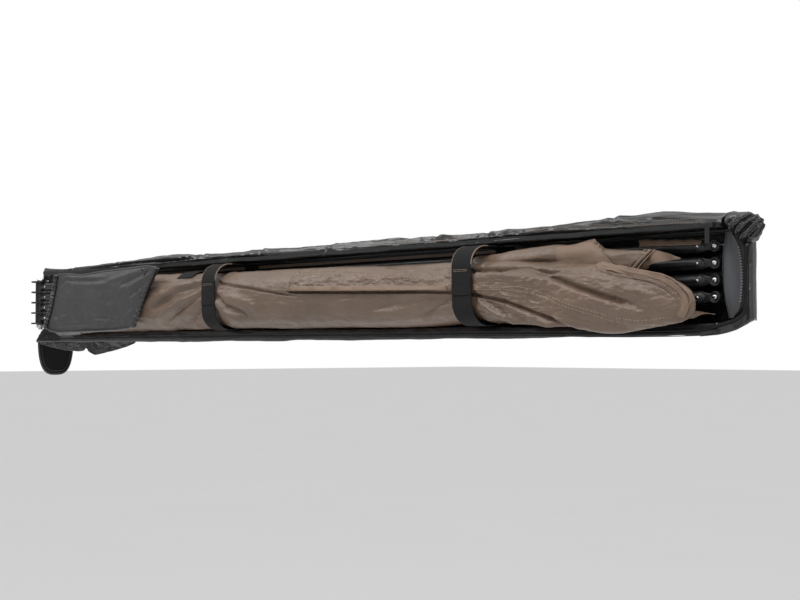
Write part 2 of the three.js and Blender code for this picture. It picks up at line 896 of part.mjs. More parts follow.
function canopyHem() {
  const low = levelZ(levelSteps[0]) + armTubeR + seat;
  return alongX(hemRearX, hemFrontX, 6, () => roundedSection({
    back: armY + hemHalfWide,
    front: armY - hemHalfWide,
    bottom: low,
    top: low + hemTall,
    frontRadius: hemRadius,
    rearRadius: hemRadius,
  }, 2, 2));
}

// Straps, a keeper stitched to each band
function strap() {
  const band = {
    back: strapBackY, front: strapFrontY, bottom: strapBottomZ, top: strapTopZ,
    frontRadius: strapFrontRadius, rearRadius: strapRearRadius,
  };
  const inside = {
    back: strapBackY - strapThick,
    front: strapFrontY + strapThick,
    bottom: strapBottomZ + strapThick,
    top: strapTopZ - strapThick,
    frontRadius: strapFrontRadius - strapThick,
    rearRadius: strapRearRadius - strapThick,
  };
  const outer = outline(roundedSection(band, 6, 1));
  const loop = withHoles(outer, [outline(roundedSection(inside, 6, 1))]);
  const half = strapWide / 2;
  const keeper = prismX(
    rectangle(strapFrontY - keeperThick, -keeperLong / 2, strapFrontY + strapThick / 2,
      keeperZ), -half, half);
  return join(prismX(loop, -half, half), keeper);
}

function strapTab() {
  const low = rollTopAt(tabX) - seat;
  const shape = rectangle(tabY - tabThick, low, tabY, low + tabTall);
  return prismX(shape, tabX - tabWide / 2, tabX + tabWide / 2);
}

// Pouch: a crowned quilt between two slanted ends
function pouchSide(sign) {
  const rows = [];
  for (let r = 0; r <= pouchRows; r += 1) {
    const v = r / pouchRows;
    const row = [];
    for (let c = 0; c <= pouchColumns; c += 1) row.push(pouchPoint(c / pouchColumns, v, sign));
    rows.push(row);
  }
  return rows;
}

function pouchPoint(u, v, sign) {
  const drawU = u + pouchDrawInShare * Math.sin(Math.PI * v) * (1 - 2 * u);
  const drawV = v + pouchDrawInShare * Math.sin(Math.PI * u) * (1 - 2 * v);
  const rearX = pouchTopRearX + (pouchBottomRearX - pouchTopRearX) * drawV;
  const frontX = pouchTopFrontX + (pouchBottomFrontX - pouchTopFrontX) * drawV;
  const crown = Math.sqrt(Math.sin(Math.PI * u) * Math.sin(Math.PI * v));
  const half = pouchThick * (pouchEdgeShare + (1 - pouchEdgeShare) * crown) / 2;
  return [
    rearX + (frontX - rearX) * drawU,
    pouchY + sign * half,
    pouchTopZ + (pouchBottomZ - pouchTopZ) * drawV,
  ];
}

function pouch() {
  const [front, back] = [pouchSide(-1), pouchSide(1)];
  const rings = front.map((row, i) => [...row, ...[...back[i]].reverse()]);
  return loft(rings);
}

// Assembly
add(root, 'backboard', backboard(), finishes.powderCoat);
for (const [name, x] of [['rear', -bracketX], ['front', bracketX]]) {
  const frame = group(root, x, 0, 0);
  add(frame, `mount_bracket_${name}`, mountBracket(), finishes.powderCoat);
  add(frame, `bracket_bolt_${name}`, bracketBolt(), finishes.steel);
}

const hub = group(root, hubX, armY, 0);
add(hub, 'hub_bracket', hubBracket(), finishes.powderCoat);
add(hub, 'hub_pin', hubPin(), finishes.steel);
add(hub, 'hub_nut', hubNut(), finishes.steel);

levelSteps.forEach((step, i) => {
  const number = i + 1;
  const arm = group(hub, 0, 0, levelZ(step));
  add(arm, `arm_${number}_knuckle`, knuckle(), finishes.powderCoat);
  add(arm, `arm_${number}_tube`, armTube(), finishes.powderCoat);
  const tip = group(arm, armReach, 0, 0);
  add(tip, `arm_${number}_tip`, armTip(), finishes.nylon);
  add(tip, `leg_${number}_pivot_bolt`, legPivotBolt(), finishes.steel);
  const leg = group(tip, 0, legY - armY, 0);
  add(leg, `leg_${number}_eye`, legEye(), finishes.nylon);
  add(leg, `leg_${number}_outer_tube`, legOuter(), finishes.powderCoat);
  add(leg, `leg_${number}_lock_collar`, lockCollar(), finishes.nylon);
  add(leg, `leg_${number}_inner_tube`, legInner(), finishes.powderCoat);
  add(leg, `leg_${number}_foot`, legFoot(), finishes.rubber);
});

add(root, 'bag_tray', bagTray(), finishes.vinyl);
add(root, 'bag_front_end', bagFrontEnd(), finishes.vinyl);
add(root, 'front_gusset', frontGusset(), finishes.vinylLining);
add(root, 'bag_cover', bagCover(), finishes.vinyl);
add(root, 'cover_zip_track', zipTrack(), finishes.nylon);
add(group(root, coverFrontX - sliderLong, 0, 0), 'zip_slider', zipSlider(), finishes.steel);
add(root, 'cover_end_bunch', coverBunch(), finishes.vinyl);
const capFrame = group(root, bagRearX - capSlit, -capWide / 2, floorZ - floorThick - capHang);
add(capFrame, 'rear_end_cap', rearEndCap(), finishes.vinyl);

add(root, 'canopy_roll', canopyRoll(), finishes.canopy);
add(root, 'canopy_lower_fold', lowerFold(), finishes.canopy);
add(root, 'canopy_upper_fold', upperFold(), finishes.canopy);
add(root, 'canopy_hem', canopyHem(), finishes.canopy);
for (const name of Object.keys(strapPlaceShares)) {
  add(group(root, strapX(name), 0, 0), name, strap(), finishes.webbing);
}
add(root, 'strap_tab', strapTab(), finishes.webbing);
add(root, 'peg_pouch', pouch(), finishes.pouch);

export default root;
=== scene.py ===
"""A fold-out awning for the side of a vehicle, stowed in its opened bag.

Metres throughout, in the frame of the CAD model: +X to the vehicle's front, -Y outward, +Z up.
"""
import math

import bmesh
import bpy
import numpy as np
from bpy.props import FloatProperty, FloatVectorProperty
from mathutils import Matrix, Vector, noise
from mathutils.bvhtree import BVHTree


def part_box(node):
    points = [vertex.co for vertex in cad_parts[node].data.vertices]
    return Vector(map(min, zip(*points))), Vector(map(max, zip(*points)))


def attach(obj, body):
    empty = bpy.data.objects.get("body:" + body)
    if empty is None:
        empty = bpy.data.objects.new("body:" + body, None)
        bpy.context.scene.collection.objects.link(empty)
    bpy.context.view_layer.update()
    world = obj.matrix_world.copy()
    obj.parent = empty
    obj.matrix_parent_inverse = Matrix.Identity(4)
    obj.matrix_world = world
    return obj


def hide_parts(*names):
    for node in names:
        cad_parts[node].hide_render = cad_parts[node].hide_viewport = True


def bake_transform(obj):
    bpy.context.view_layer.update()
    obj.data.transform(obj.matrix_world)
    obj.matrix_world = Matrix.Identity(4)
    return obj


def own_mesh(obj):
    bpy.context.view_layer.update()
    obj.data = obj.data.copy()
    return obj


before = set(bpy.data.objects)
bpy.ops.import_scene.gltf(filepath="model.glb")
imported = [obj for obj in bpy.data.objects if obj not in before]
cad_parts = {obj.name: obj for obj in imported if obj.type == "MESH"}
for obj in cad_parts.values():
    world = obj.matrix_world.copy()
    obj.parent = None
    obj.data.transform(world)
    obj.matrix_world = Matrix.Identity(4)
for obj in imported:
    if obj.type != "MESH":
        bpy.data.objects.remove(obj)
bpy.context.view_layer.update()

bl_info = {
    "name": "Side awning",
    "version": (1, 0, 0),
    "blender": (4, 5, 0),
    "location": "View3D > Sidebar > Awning",
    "description": "Builds a stowed fan awning piece by piece round its packed frame",
    "category": "Object",
}

LEVELS = (1, 2, 3, 4)
ARM_Y = -0.064
LEG_Y = -0.0375
HUB_X = -1.15
TIP_X = 1.055
TUBE_SIDES, RIBBED_SIDES = 48, 160
LAYER = 0.0012
LINING = 0.001
TAPE = 0.0009


def mm(*values):
    """Millimetres to metres."""
    return tuple(v * 0.001 for v in values)


def points_mm(*points):
    """Points given in millimetres, in metres."""
    return [mm(*point) for point in points]


def level_z(k):
    low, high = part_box(f"arm_{k}_tube")
    return (low.z + high.z) / 2


# Settings

def length(name, description, default):
    return FloatProperty(name=name, description=description, default=default, min=0.0,
                         subtype="DISTANCE", unit="LENGTH")


def colour(name, description, default):
    return FloatVectorProperty(name=name, description=description, default=default, size=3,
                               min=0.0, max=1.0, subtype="COLOR")


class AwningCanopySettings(bpy.types.PropertyGroup):
    cloth_colour: colour("Cloth", "Colour of the canopy cloth", (0.138, 0.094, 0.067))
    pouch_colour: colour("Pouch", "Colour of the peg pouch", (0.0345, 0.0346, 0.0362))
    webbing_colour: colour("Webbing", "Colour of the straps", (0.0085, 0.0085, 0.009))
    fold_depth: length("Fold depth", "Depth of the deep folds", 0.0075)
    lap_rise: length("Lap rise", "Height of one layer over the next", 0.0035)
    hem_width: length("Hem width", "Width of the canopy's sewn hem", 0.013)
    strap_thickness: length("Strap thickness", "Thickness of the webbing", 0.002)


class AwningBagSettings(bpy.types.PropertyGroup):
    vinyl_colour: colour("Vinyl", "Colour of the bag's coated cloth", (0.0062, 0.0064, 0.007))
    lining_colour: colour("Lining", "Colour of the bag's grey lining", (0.07, 0.073, 0.08))
    cloth_thickness: length("Cloth thickness", "Thickness of the coated cloth", 0.0012)
    crumple: length("Crumple", "Depth of the cover's crumples", 0.0035)
    piping_radius: length("Piping radius", "Radius of the bag's piping", 0.0028)


class AwningFrameSettings(bpy.types.PropertyGroup):
    coat_colour: colour("Powder coat", "Colour of the coated metal", (0.0075, 0.0078, 0.0085))
    nylon_colour: colour("Nylon", "Colour of the moulded pieces", (0.01, 0.0103, 0.011))
    steel_colour: colour("Steel", "Colour of the bright plated steel", (0.66, 0.66, 0.65))
    rubber_colour: colour("Rubber", "Colour of the feet", (0.02, 0.02, 0.02))
    edge_ease: length("Edge ease", "Rounding of the metal's edges", 0.0007)


class AwningStageSettings(bpy.types.PropertyGroup):
    floor_drop: length("Floor drop", "Depth of the floor under the awning", 2.06)
    lamp_power: FloatProperty(name="Lamp power", description="Power of the main soft lamp",
                              default=62.0, min=0.0, unit="POWER")
    world_light: FloatProperty(name="World light", description="Strength of the even light",
                               default=0.62, min=0.0)


# Materials

class Finish:
    """A procedural material on the Principled shader, in the object's own coordinates."""

    def __init__(self, name, base, roughness, metallic=0.0):
        self.material = bpy.data.materials.new(name)
        self.material.use_nodes = True
        self.tree = self.material.node_tree
        self.shader = self.tree.nodes["Principled BSDF"]
        self.set("Base Color", (*base, 1.0))
        self.set("Roughness", roughness)
        self.set("Metallic", metallic)
        self.place = self.node("ShaderNodeTexCoord")
        self.height = None

    def node(self, kind, **settings):
        node = self.tree.nodes.new(kind)
        for key, value in settings.items():
            setattr(node, key, value)
        return node

    def link(self, output, socket):
        self.tree.links.new(output, socket)

    def set(self, socket, value):
        self.shader.inputs[socket].default_value = value

    def mapped(self, stretch=(1, 1, 1), source="Object"):
        mapping = self.node("ShaderNodeMapping")
        mapping.inputs["Scale"].default_value = stretch
        self.link(self.place.outputs[source], mapping.inputs["Vector"])
        return mapping.outputs["Vector"]

    def along(self, axis):
        """One of the object's own coordinates."""
        split = self.node("ShaderNodeSeparateXYZ")
        self.link(self.place.outputs["Object"], split.inputs[0])
        return split.outputs[axis]

    def noise(self, scale, detail=3.0, stretch=(1, 1, 1), kind="FBM", rough=0.55):
        texture = self.node("ShaderNodeTexNoise", noise_type=kind, normalize=kind == "FBM")
        self.link(self.mapped(stretch), texture.inputs["Vector"])
        texture.inputs["Scale"].default_value = scale
        texture.inputs["Detail"].default_value = detail
        texture.inputs["Roughness"].default_value = rough
        return texture.outputs["Fac"]

    def cells(self, scale):
        texture = self.node("ShaderNodeTexVoronoi")
        self.link(self.mapped(), texture.inputs["Vector"])
        texture.inputs["Scale"].default_value = scale
        return texture.outputs["Distance"]

    def threads(self, pitch, axis, source="Object"):
        """Bands of the given pitch along one axis."""
        wave = self.node("ShaderNodeTexWave", wave_type="BANDS", bands_direction=axis)
        self.link(self.mapped(source=source), wave.inputs["Vector"])
        wave.inputs["Scale"].default_value = math.pi / (10 * pitch)
        return wave.outputs["Fac"]

    def ranged(self, value, low, high, start=0.3, end=0.7):
        node = self.node("ShaderNodeMapRange")
        for socket, number in zip(("From Min", "From Max", "To Min", "To Max"),
                                  (start, end, low, high)):
            node.inputs[socket].default_value = number
        self.link(value, node.inputs["Value"])
        return node.outputs["Result"]

    def math(self, operation, first, second):
        node = self.node("ShaderNodeMath", operation=operation)
        self.link(first, node.inputs[0])
        if isinstance(second, float):
            node.inputs[1].default_value = second
        else:
            self.link(second, node.inputs[1])
        return node.outputs[0]

    def colours(self, value, dark, light):
        mix = self.node("ShaderNodeMix", data_type="RGBA")
        mix.inputs["A"].default_value = (*dark, 1.0)
        mix.inputs["B"].default_value = (*light, 1.0)
        self.link(value, mix.inputs["Factor"])
        self.link(mix.outputs["Result"], self.shader.inputs["Base Color"])

    def tint(self, value, base, dark, light):
        """Uneven colour, from a darker to a lighter shade of the base."""
        self.colours(value, shade(base, dark), shade(base, light))

    def mottle(self, value, base, dark, light):
        """The same, with the value's contrast brought out."""
        self.tint(self.ranged(value, 0.0, 1.0), base, dark, light)

    def roughness(self, value, low, high):
        self.link(self.ranged(value, low, high), self.shader.inputs["Roughness"])

    def bump(self, value, distance, strength=1.0):
        """Adds one layer of relief over the ones before."""
        node = self.node("ShaderNodeBump")
        node.inputs["Distance"].default_value = distance
        node.inputs["Strength"].default_value = strength
        self.link(value, node.inputs["Height"])
        if self.height is not None:
            self.link(self.height, node.inputs["Normal"])
        self.height = node.outputs["Normal"]
        self.link(self.height, self.shader.inputs["Normal"])

    def weave(self, pitch, depth, strength):
        """The relief of cloth woven along X and Z."""
        self.bump(self.math("ADD", self.threads(pitch, "X"), self.threads(pitch, "Z")), depth, strength)


def shade(base, factor):
    return tuple(min(1.0, c * factor) for c in base)


def canopy_cloth(base):
    f = Finish("canopy_cloth", base, 0.6)
    coated = f.ranged(f.along("X"), 0.34, 1, 0.54, 0.66)
    f.mottle(f.noise(5, 5, (1, 1, 2)), base, 0.8, 1.18)
    f.roughness(f.math("MULTIPLY", f.noise(26, 3), f.ranged(coated, 1, 0.45, 0, 1)), 0.3, 0.56)
    f.set("Specular IOR Level", 0.42)
    f.bump(f.noise(9, 5, (0.7, 1, 1.6), rough=0.6), 0.009, 0.55)
    crinkle = f.noise(34, 4, (0.55, 1, 1.3), kind="RIDGED_MULTIFRACTAL")
    f.bump(f.math("MULTIPLY", crinkle, coated), 0.0026, 0.6)
    f.bump(f.noise(95, 3, (0.7, 1, 1.2), kind="RIDGED_MULTIFRACTAL"), 0.0005, 0.4)
    f.weave(0.0011, 0.00015, 0.35)
    return f.material


# Painted light: the canopy cloth's own colour made 1.15 to 1.45 times lighter, standing for light on the
# hems and turned layers that lie in the cover's shadow
def hem_painted_light(base):
    f = Finish("canopy_hem_painted_light", shade(base, 1.3), 0.55)
    f.mottle(f.noise(20, 4), base, 1.15, 1.45)
    f.set("Specular IOR Level", 0.35)
    f.bump(f.noise(120, 3), 0.0006, 0.5)
    f.weave(0.0011, 0.00015, 0.35)
    return f.material


def thread(base):
    f = Finish("sewing_thread", shade(base, 1.9), 0.6)
    f.set("Sheen Weight", 0.2)
    f.tint(f.noise(400, 2), base, 1.6, 2.4)
    f.bump(f.noise(900, 2), 0.0002, 0.4)
    return f.material


def pouch_cloth(base):
    f = Finish("pouch_cloth", base, 0.5)
    f.mottle(f.noise(7, 4), base, 0.85, 1.15)
    f.roughness(f.noise(20, 3), 0.4, 0.58)
    f.bump(f.noise(16, 5, (1, 1, 1.3)), 0.004, 0.4)
    f.bump(f.noise(60, 4, kind="RIDGED_MULTIFRACTAL"), 0.0006, 0.3)
    f.weave(0.0009, 0.00012, 0.3)
    return f.material


def webbing(base):
    f = Finish("webbing", base, 0.78)
    ribs = f.threads(0.0021, "X", "UV")
    warp = f.threads(0.0016, "Y", "UV")
    f.tint(f.math("MULTIPLY", ribs, warp), base, 0.75, 1.5)
    f.set("Specular IOR Level", 0.22)
    f.bump(ribs, 0.0005, 0.6)
    f.bump(warp, 0.0003, 0.5)
    return f.material


def bag_vinyl(base):
    f = Finish("bag_vinyl", base, 0.34)
    f.set("Specular IOR Level", 0.38)
    f.mottle(f.noise(8, 5, (0.6, 1, 1)), base, 0.8, 1.5)
    f.roughness(f.noise(14, 4), 0.3, 0.5)
    f.set("Coat Weight", 0.55)
    f.set("Coat Roughness", 0.12)
    f.bump(f.noise(15, 5, (0.5, 1, 1.4), rough=0.62), 0.006, 0.6)
    f.bump(f.noise(42, 4, (0.5, 1, 1.2), kind="RIDGED_MULTIFRACTAL"), 0.0014, 0.45)
    f.bump(f.cells(1300), 0.00012, 0.3)
    return f.material


def bag_lining(base):
    f = Finish("bag_lining", base, 0.5)
    f.mottle(f.noise(10, 4, (1, 1, 0.5)), base, 0.85, 1.15)
    f.set("Sheen Weight", 0.1)
    f.bump(f.noise(30, 4, (1, 1, 0.6)), 0.0015, 0.3)
    f.weave(0.001, 0.00015, 0.4)
    return f.material


def powder_coat(base):
    f = Finish("powder_coat", base, 0.34)
    f.mottle(f.noise(30, 4), base, 0.85, 1.2)
    f.roughness(f.noise(60, 3), 0.28, 0.4)
    f.bump(f.noise(1400, 2), 0.00006, 0.35)
    return f.material


def black_nylon(base):
    f = Finish("black_nylon", base, 0.42)
    f.mottle(f.noise(90, 3), base, 0.85, 1.25)
    f.roughness(f.noise(150, 3), 0.36, 0.5)
    f.bump(f.cells(1600), 0.0001, 0.3)
    return f.material


def zinc_steel(base):
    f = Finish("zinc_steel", base, 0.22, 1)
    f.tint(f.noise(120, 3), base, 0.9, 1.1)
    f.roughness(f.noise(260, 3, (1, 1, 6)), 0.16, 0.32)
    f.bump(f.noise(700, 2, (1, 1, 8)), 0.00005, 0.3)
    return f.material


def dark_steel(base):
    f = Finish("dark_steel", shade(base, 0.06), 0.34, 1)
    f.tint(f.noise(140, 3), base, 0.045, 0.085)
    f.roughness(f.noise(240, 3), 0.28, 0.42)
    f.bump(f.noise(600, 2), 0.00005, 0.3)
    return f.material


# Painted glints: the black nylon colour lifted twelve to thirty times, so the teeth show as light dots
# as if each caught the light
def zip_teeth(base):
    f = Finish("zip_teeth", shade(base, 20), 0.35)
    f.tint(f.noise(300, 2), base, 12, 30)
    f.bump(f.noise(800, 2), 0.0001, 0.3)
    return f.material


def foot_rubber(base):
    f = Finish("foot_rubber", base, 0.8)
    f.tint(f.noise(80, 3), base, 0.8, 1.3)
    f.bump(f.cells(900), 0.0002, 0.4)
    return f.material


MATERIALS = {}


def finish_for(slot_name):
    """The material of one slot, made when it is first asked for."""
    scene = bpy.context.scene
    canopy, bag, metal = scene.awning_canopy, scene.awning_bag, scene.awning_frame
    makers = {
        "canopy_cloth": (canopy_cloth, canopy.cloth_colour),
        "canopy_hem_painted_light": (hem_painted_light, canopy.cloth_colour),
        "sewing_thread": (thread, canopy.cloth_colour),
        "pouch_cloth": (pouch_cloth, canopy.pouch_colour),
        "webbing": (webbing, canopy.webbing_colour),
        "bag_vinyl": (bag_vinyl, bag.vinyl_colour),
        "bag_lining": (bag_lining, bag.lining_colour),
        "powder_coat": (powder_coat, metal.coat_colour),
        "black_nylon": (black_nylon, metal.nylon_colour),
        "zinc_steel": (zinc_steel, metal.steel_colour),
        "dark_steel": (dark_steel, metal.steel_colour),
        "zip_teeth": (zip_teeth, metal.nylon_colour),
        "foot_rubber": (foot_rubber, metal.rubber_colour),
    }
    if slot_name not in MATERIALS:
        make, base = makers[slot_name]
        MATERIALS[slot_name] = make(tuple(base))
    return MATERIALS[slot_name]


# Pieces and meshes

SHARP = math.radians(32)


def piece(name, points, faces, uv=None):
    """A smooth mesh object from points and faces."""
    mesh = bpy.data.meshes.new(name)
    mesh.from_pydata([tuple(p) for p in points], [], [tuple(f) for f in faces])
    if uv is not None:
        layer = mesh.uv_layers.new(name="UVMap")
        loops = np.empty(len(mesh.loops), np.int32)
        mesh.loops.foreach_get("vertex_index", loops)
        layer.data.foreach_set("uv", np.asarray(uv, float)[loops].ravel())
    mesh.update()
    return placed(name, mesh)


def placed(name, mesh):
    obj = bpy.data.objects.new(name, mesh)
    bpy.context.scene.collection.objects.link(obj)
    return smooth(obj)


def smooth(obj, angle=SHARP):
    obj.data.shade_smooth()
    obj.data.set_sharp_from_angle(angle=angle)
    return obj


def outward(obj, angle=SHARP, weld=True):
    """Turns the faces of a closed piece outwards."""
    form = bmesh.new()
    form.from_mesh(obj.data)
    if weld:
        bmesh.ops.remove_doubles(form, verts=form.verts, dist=1e-6)
    bmesh.ops.recalc_face_normals(form, faces=form.faces)
    form.to_mesh(obj.data)
    form.free()
    return smooth(obj, angle)


def formed(name, form):
    """A piece from a bmesh, which it uses up."""
    mesh = bpy.data.meshes.new(name)
    form.to_mesh(mesh)
    form.free()
    return placed(name, mesh)


def mount(obj, body, slot_name, *nodes, finish=None):
    """Gives a piece its finish, its body and the CAD nodes that it stands for."""
    obj.data.materials.clear()
    obj.data.materials.append(finish_for(finish or slot_name))
    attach(obj, body)
    if nodes:
        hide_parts(*nodes)
    return obj


def merged(name, objects):
    """Several meshes as one piece."""
    form = bmesh.new()
    for obj in objects:
        form.from_mesh(obj.data)
        bpy.data.meshes.remove(obj.data)
    return formed(name, form)


def grid_faces(rows, columns, round_rows=False):
    faces = []
    last = columns if round_rows else columns - 1
    for r in range(rows - 1):
        for c in range(last):
            d = (c + 1) % columns
            faces.append((r * columns + c, r * columns + d,
                          (r + 1) * columns + d, (r + 1) * columns + c))
    return faces


def skin(name, rings):
    """A closed skin through rings of points, with a fan over each end."""
    rows, columns, _ = rings.shape
    points = np.concatenate([rings.reshape(-1, 3), [rings[0].mean(0)], [rings[-1].mean(0)]])
    faces = grid_faces(rows, columns, True)
    first, last, base = rows * columns, rows * columns + 1, (rows - 1) * columns
    for c in range(columns):
        d = (c + 1) % columns
        faces.append((first, d, c))
        faces.append((last, base + c, base + d))
    return outward(piece(name, points, faces))


def unit(v):
    return v / np.maximum(np.linalg.norm(v, axis=-1, keepdims=True), 1e-12)


def normals_of(grid):
    """Unit normals of a grid of points."""
    return unit(np.cross(np.gradient(grid, axis=0), np.gradient(grid, axis=1)))


def cloth(name, grid, thickness):
    """A closed sheet of even thickness through an open grid of points."""
    rows, columns, _ = grid.shape
    offset = normals_of(grid) * thickness / 2
    top, under = grid + offset, grid - offset
    count = rows * columns
    front = grid_faces(rows, columns)
    back = [tuple(count + i for i in reversed(f)) for f in front]
    edge = ([(0, c) for c in range(columns)] + [(r, columns - 1) for r in range(1, rows)]
            + [(rows - 1, c) for c in range(columns - 2, -1, -1)]
            + [(r, 0) for r in range(rows - 2, 0, -1)])
    ids = [r * columns + c for r, c in edge]
    rim = [(b, a, a + count, b + count) for a, b in zip(ids, ids[1:] + ids[:1])]
    points = np.concatenate([top.reshape(-1, 3), under.reshape(-1, 3)])
    return outward(piece(name, points, front + back + rim))


def full_turn(count):
    """Even angles round a circle."""
    return np.linspace(0, 2 * math.pi, count, endpoint=False)


def frames_along(path):
    """Unit tangents and two cross directions along a path."""
    tangent = unit(np.gradient(np.asarray(path, float), axis=0))
    side = np.cross(tangent[0], (0.0, 0.0, 1.0))
    if np.linalg.norm(side) < 1e-3:
        side = np.cross(tangent[0], (1.0, 0.0, 0.0))
    sides = []
    for t in tangent:
        side = unit(side - t * side.dot(t))
        sides.append(side)
    sides = np.array(sides)
    return tangent, sides, np.cross(tangent, sides)


def rod(name, path, radius, sides, flat=1.0):
    """A round or oval bar along a path."""
    _, side, up = frames_along(path)
    angle = full_turn(sides)
    radii = np.broadcast_to(np.asarray(radius, float), (len(path),))
    rings = (np.asarray(path, float)[:, None, :]
             + radii[:, None, None] * (np.cos(angle)[None, :, None] * side[:, None, :]
                                       + flat * np.sin(angle)[None, :, None] * up[:, None, :]))
    return skin(name, rings)


def curve_through(points, count):
    """A smooth path through a few points."""
    points = np.asarray(points, float)
    ghost = np.concatenate([[2 * points[0] - points[1]], points, [2 * points[-1] - points[-2]]])
    spots = np.linspace(0, len(points) - 1 - 1e-9, count)
    out = []
    for s in spots:
        i = int(s)
        t = s - i
        a, b, c, d = ghost[i:i + 4]
        out.append(0.5 * (2 * b + (c - a) * t + (2 * a - 5 * b + 4 * c - d) * t * t
                          + (3 * b - a - 3 * c + d) * t ** 3))
    return np.array(out)


def run_along(path):
    """The distance from a path's start to each of its points."""
    return np.concatenate([[0], np.cumsum(np.linalg.norm(np.diff(path, axis=0), axis=1))])


def at_run(path, run, spots):
    """The points of a path at the given distances along it."""
    return np.stack([np.interp(spots, run, path[:, c]) for c in range(path.shape[1])], -1)


def evened(path, rounds):
    """Softens the inner points of a path."""
    for _ in range(rounds):
        path[1:-1] = (path[:-2] + 2 * path[1:-1] + path[2:]) / 4
    return path


def closed_even(path, count):
    """Evenly spaced points round a closed path, and their distances along it."""
    closed = np.concatenate([path, path[:1]])
    run = run_along(closed)
    spots = np.linspace(0, run[-1], count, endpoint=False)
    return at_run(closed, run, spots), spots


def moved(line, dx, dz):
    """A line in X and Z, shifted."""
    return [(x + dx, z + dz) for x, z in line]


def at_x(table, xs):
    """Values between the pairs of a table."""
    table = np.asarray(table)
    return np.interp(xs, table[:, 0], table[:, 1])


def unit_grid(rows, columns):
    return np.meshgrid(np.linspace(0, 1, rows), np.linspace(0, 1, columns), indexing="ij")


def grid_of(x, y, z):
    """A grid of points from three arrays that fill each other out."""
    return np.stack(np.broadcast_arrays(x, y, z), -1)


def ruled(a, b, columns):
    """A grid of points from one line across to another."""
    t = np.linspace(0, 1, columns)[None, :, None]
    return a[:, None] * (1 - t) + b[:, None] * t


def smooth_section(points, count, rounds):
    """An open section with evenly spaced points and softened corners."""
    points = np.asarray(points, float)
    run = run_along(points)
    return evened(at_run(points, run, np.linspace(0, run[-1], count)), rounds)


AXES = {"X": (0, 1, 2), "Y": (1, 2, 0), "Z": (2, 0, 1)}


def lathe(axis, centre, profile, sides):
    """Rings round an axis: the profile gives radius and place along it, in millimetres."""
    along, first, second = AXES[axis]
    angle = full_turn(sides)
    rings = np.zeros((len(profile), sides, 3))
    for ring, (radius, place) in zip(rings, profile):
        ring[:, along] = place * 0.001
        ring[:, first] = radius * 0.001 * np.cos(angle)
        ring[:, second] = radius * 0.001 * np.sin(angle)
    return rings + np.asarray(centre, float)


def turned(name, axis, centre, profile, sides=TUBE_SIDES):
    """A solid lathed piece."""
    return skin(name, lathe(axis, centre, profile, sides))


def hollow(name, axis, centre, profile, sides=TUBE_SIDES):
    """A lathed piece with a bore: the profile is a closed line."""
    rings = lathe(axis, centre, [*profile, profile[0]], sides)
    return outward(piece(name, rings.reshape(-1, 3), grid_faces(len(rings), sides, True)))


def ribbed(name, centre, profile, ribs, depth):
    """A lathed collar along X: the profile's third value is the share of the ribs' depth."""
    angle = full_turn(RIBBED_SIDES)
    cut = depth * np.clip(0.5 - 0.5 * np.cos(ribs * angle) - 0.35, 0, 1) / 0.65
    shaped = [(radius - cut * share, place) for radius, place, share in profile]
    return hollow(name, "X", centre, shaped, RIBBED_SIDES)


def eased(form, offset, segments=2):
    """Rounds the sharp edges of a bmesh."""
    sharp = [e for e in form.edges if len(e.link_faces) == 2 and e.calc_face_angle(0) > SHARP]
    bmesh.ops.bevel(form, geom=sharp, offset=offset, segments=segments, profile=0.5,
                    affect="EDGES", clamp_overlap=True)


def slab(name, outline, axis, low, high, ease, segments):
    """A flat plate with eased edges; the outline gives the two other coordinates in order."""
    along, first, second = AXES[axis]
    form = bmesh.new()
    corners = []
    for u, v in outline:
        spot = [0.0, 0.0, 0.0]
        spot[along], spot[first], spot[second] = low, u, v
        corners.append(form.verts.new(spot))
    face = form.faces.new(corners)
    made = bmesh.ops.extrude_face_region(form, geom=[face])
    move = [0.0, 0.0, 0.0]
    move[along] = high - low
    verts = [g for g in made["geom"] if isinstance(g, bmesh.types.BMVert)]
    bmesh.ops.translate(form, verts=verts, vec=move)
    bmesh.ops.recalc_face_normals(form, faces=form.faces)
    eased(form, ease, segments)
    return formed(name, form)


def eased_copy(node, name, ease):
    """A CAD solid's own shape with eased edges."""
    form = bmesh.new()
    form.from_mesh(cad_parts[node].data)
    bmesh.ops.remove_doubles(form, verts=form.verts, dist=2e-6)
    bmesh.ops.dissolve_limit(form, angle_limit=math.radians(0.5), verts=form.verts,
                             edges=form.edges)
    eased(form, ease)
    bmesh.ops.recalc_face_normals(form, faces=form.faces)
    return formed(name, form)


# Soft forms taken from the space that a CAD solid holds

RAYS = 128
END_INSET = 0.0006
FRONT_GAIN = 3.0


def tree_of(obj):
    mesh = obj.data
    return BVHTree.FromPolygons([v.co for v in mesh.vertices],
                                [tuple(p.vertices) for p in mesh.polygons])


def rings_of(node, stations, sides):
    """Rings round a CAD solid at stations along X, evenly spaced round each ring."""
    tree = tree_of(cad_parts[node])
    low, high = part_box(node)
    y = (low.y + high.y) / 2
    turns = [2 * math.pi * r / RAYS for r in range(RAYS)]
    rings = np.empty((stations, sides, 3))
    for i, x in enumerate(np.linspace(low.x + END_INSET, high.x - END_INSET, stations)):
        top = tree.ray_cast(Vector((x, y, high.z + 0.1)), Vector((0, 0, -1)))[0]
        bottom = tree.ray_cast(Vector((x, y, low.z - 0.1)), Vector((0, 0, 1)))[0]
        middle = Vector((x, y, (top.z + bottom.z) / 2))
        ring = [tree.ray_cast(middle, Vector((0, math.cos(a), math.sin(a))))[0] for a in turns]
        rings[i] = closed_even(np.array(ring), sides)[0]
    return rings


def softened(rings, along, around):
    """Evens out a ring grid along its length and round its section."""
    for _ in range(along):
        inner = (rings[:-2] + 2 * rings[1:-1] + rings[2:]) / 4
        rings = np.concatenate([rings[:1], inner, rings[-1:]])
    for _ in range(around):
        rings = (np.roll(rings, 1, 1) + 2 * rings + np.roll(rings, -1, 1)) / 4
    return rings


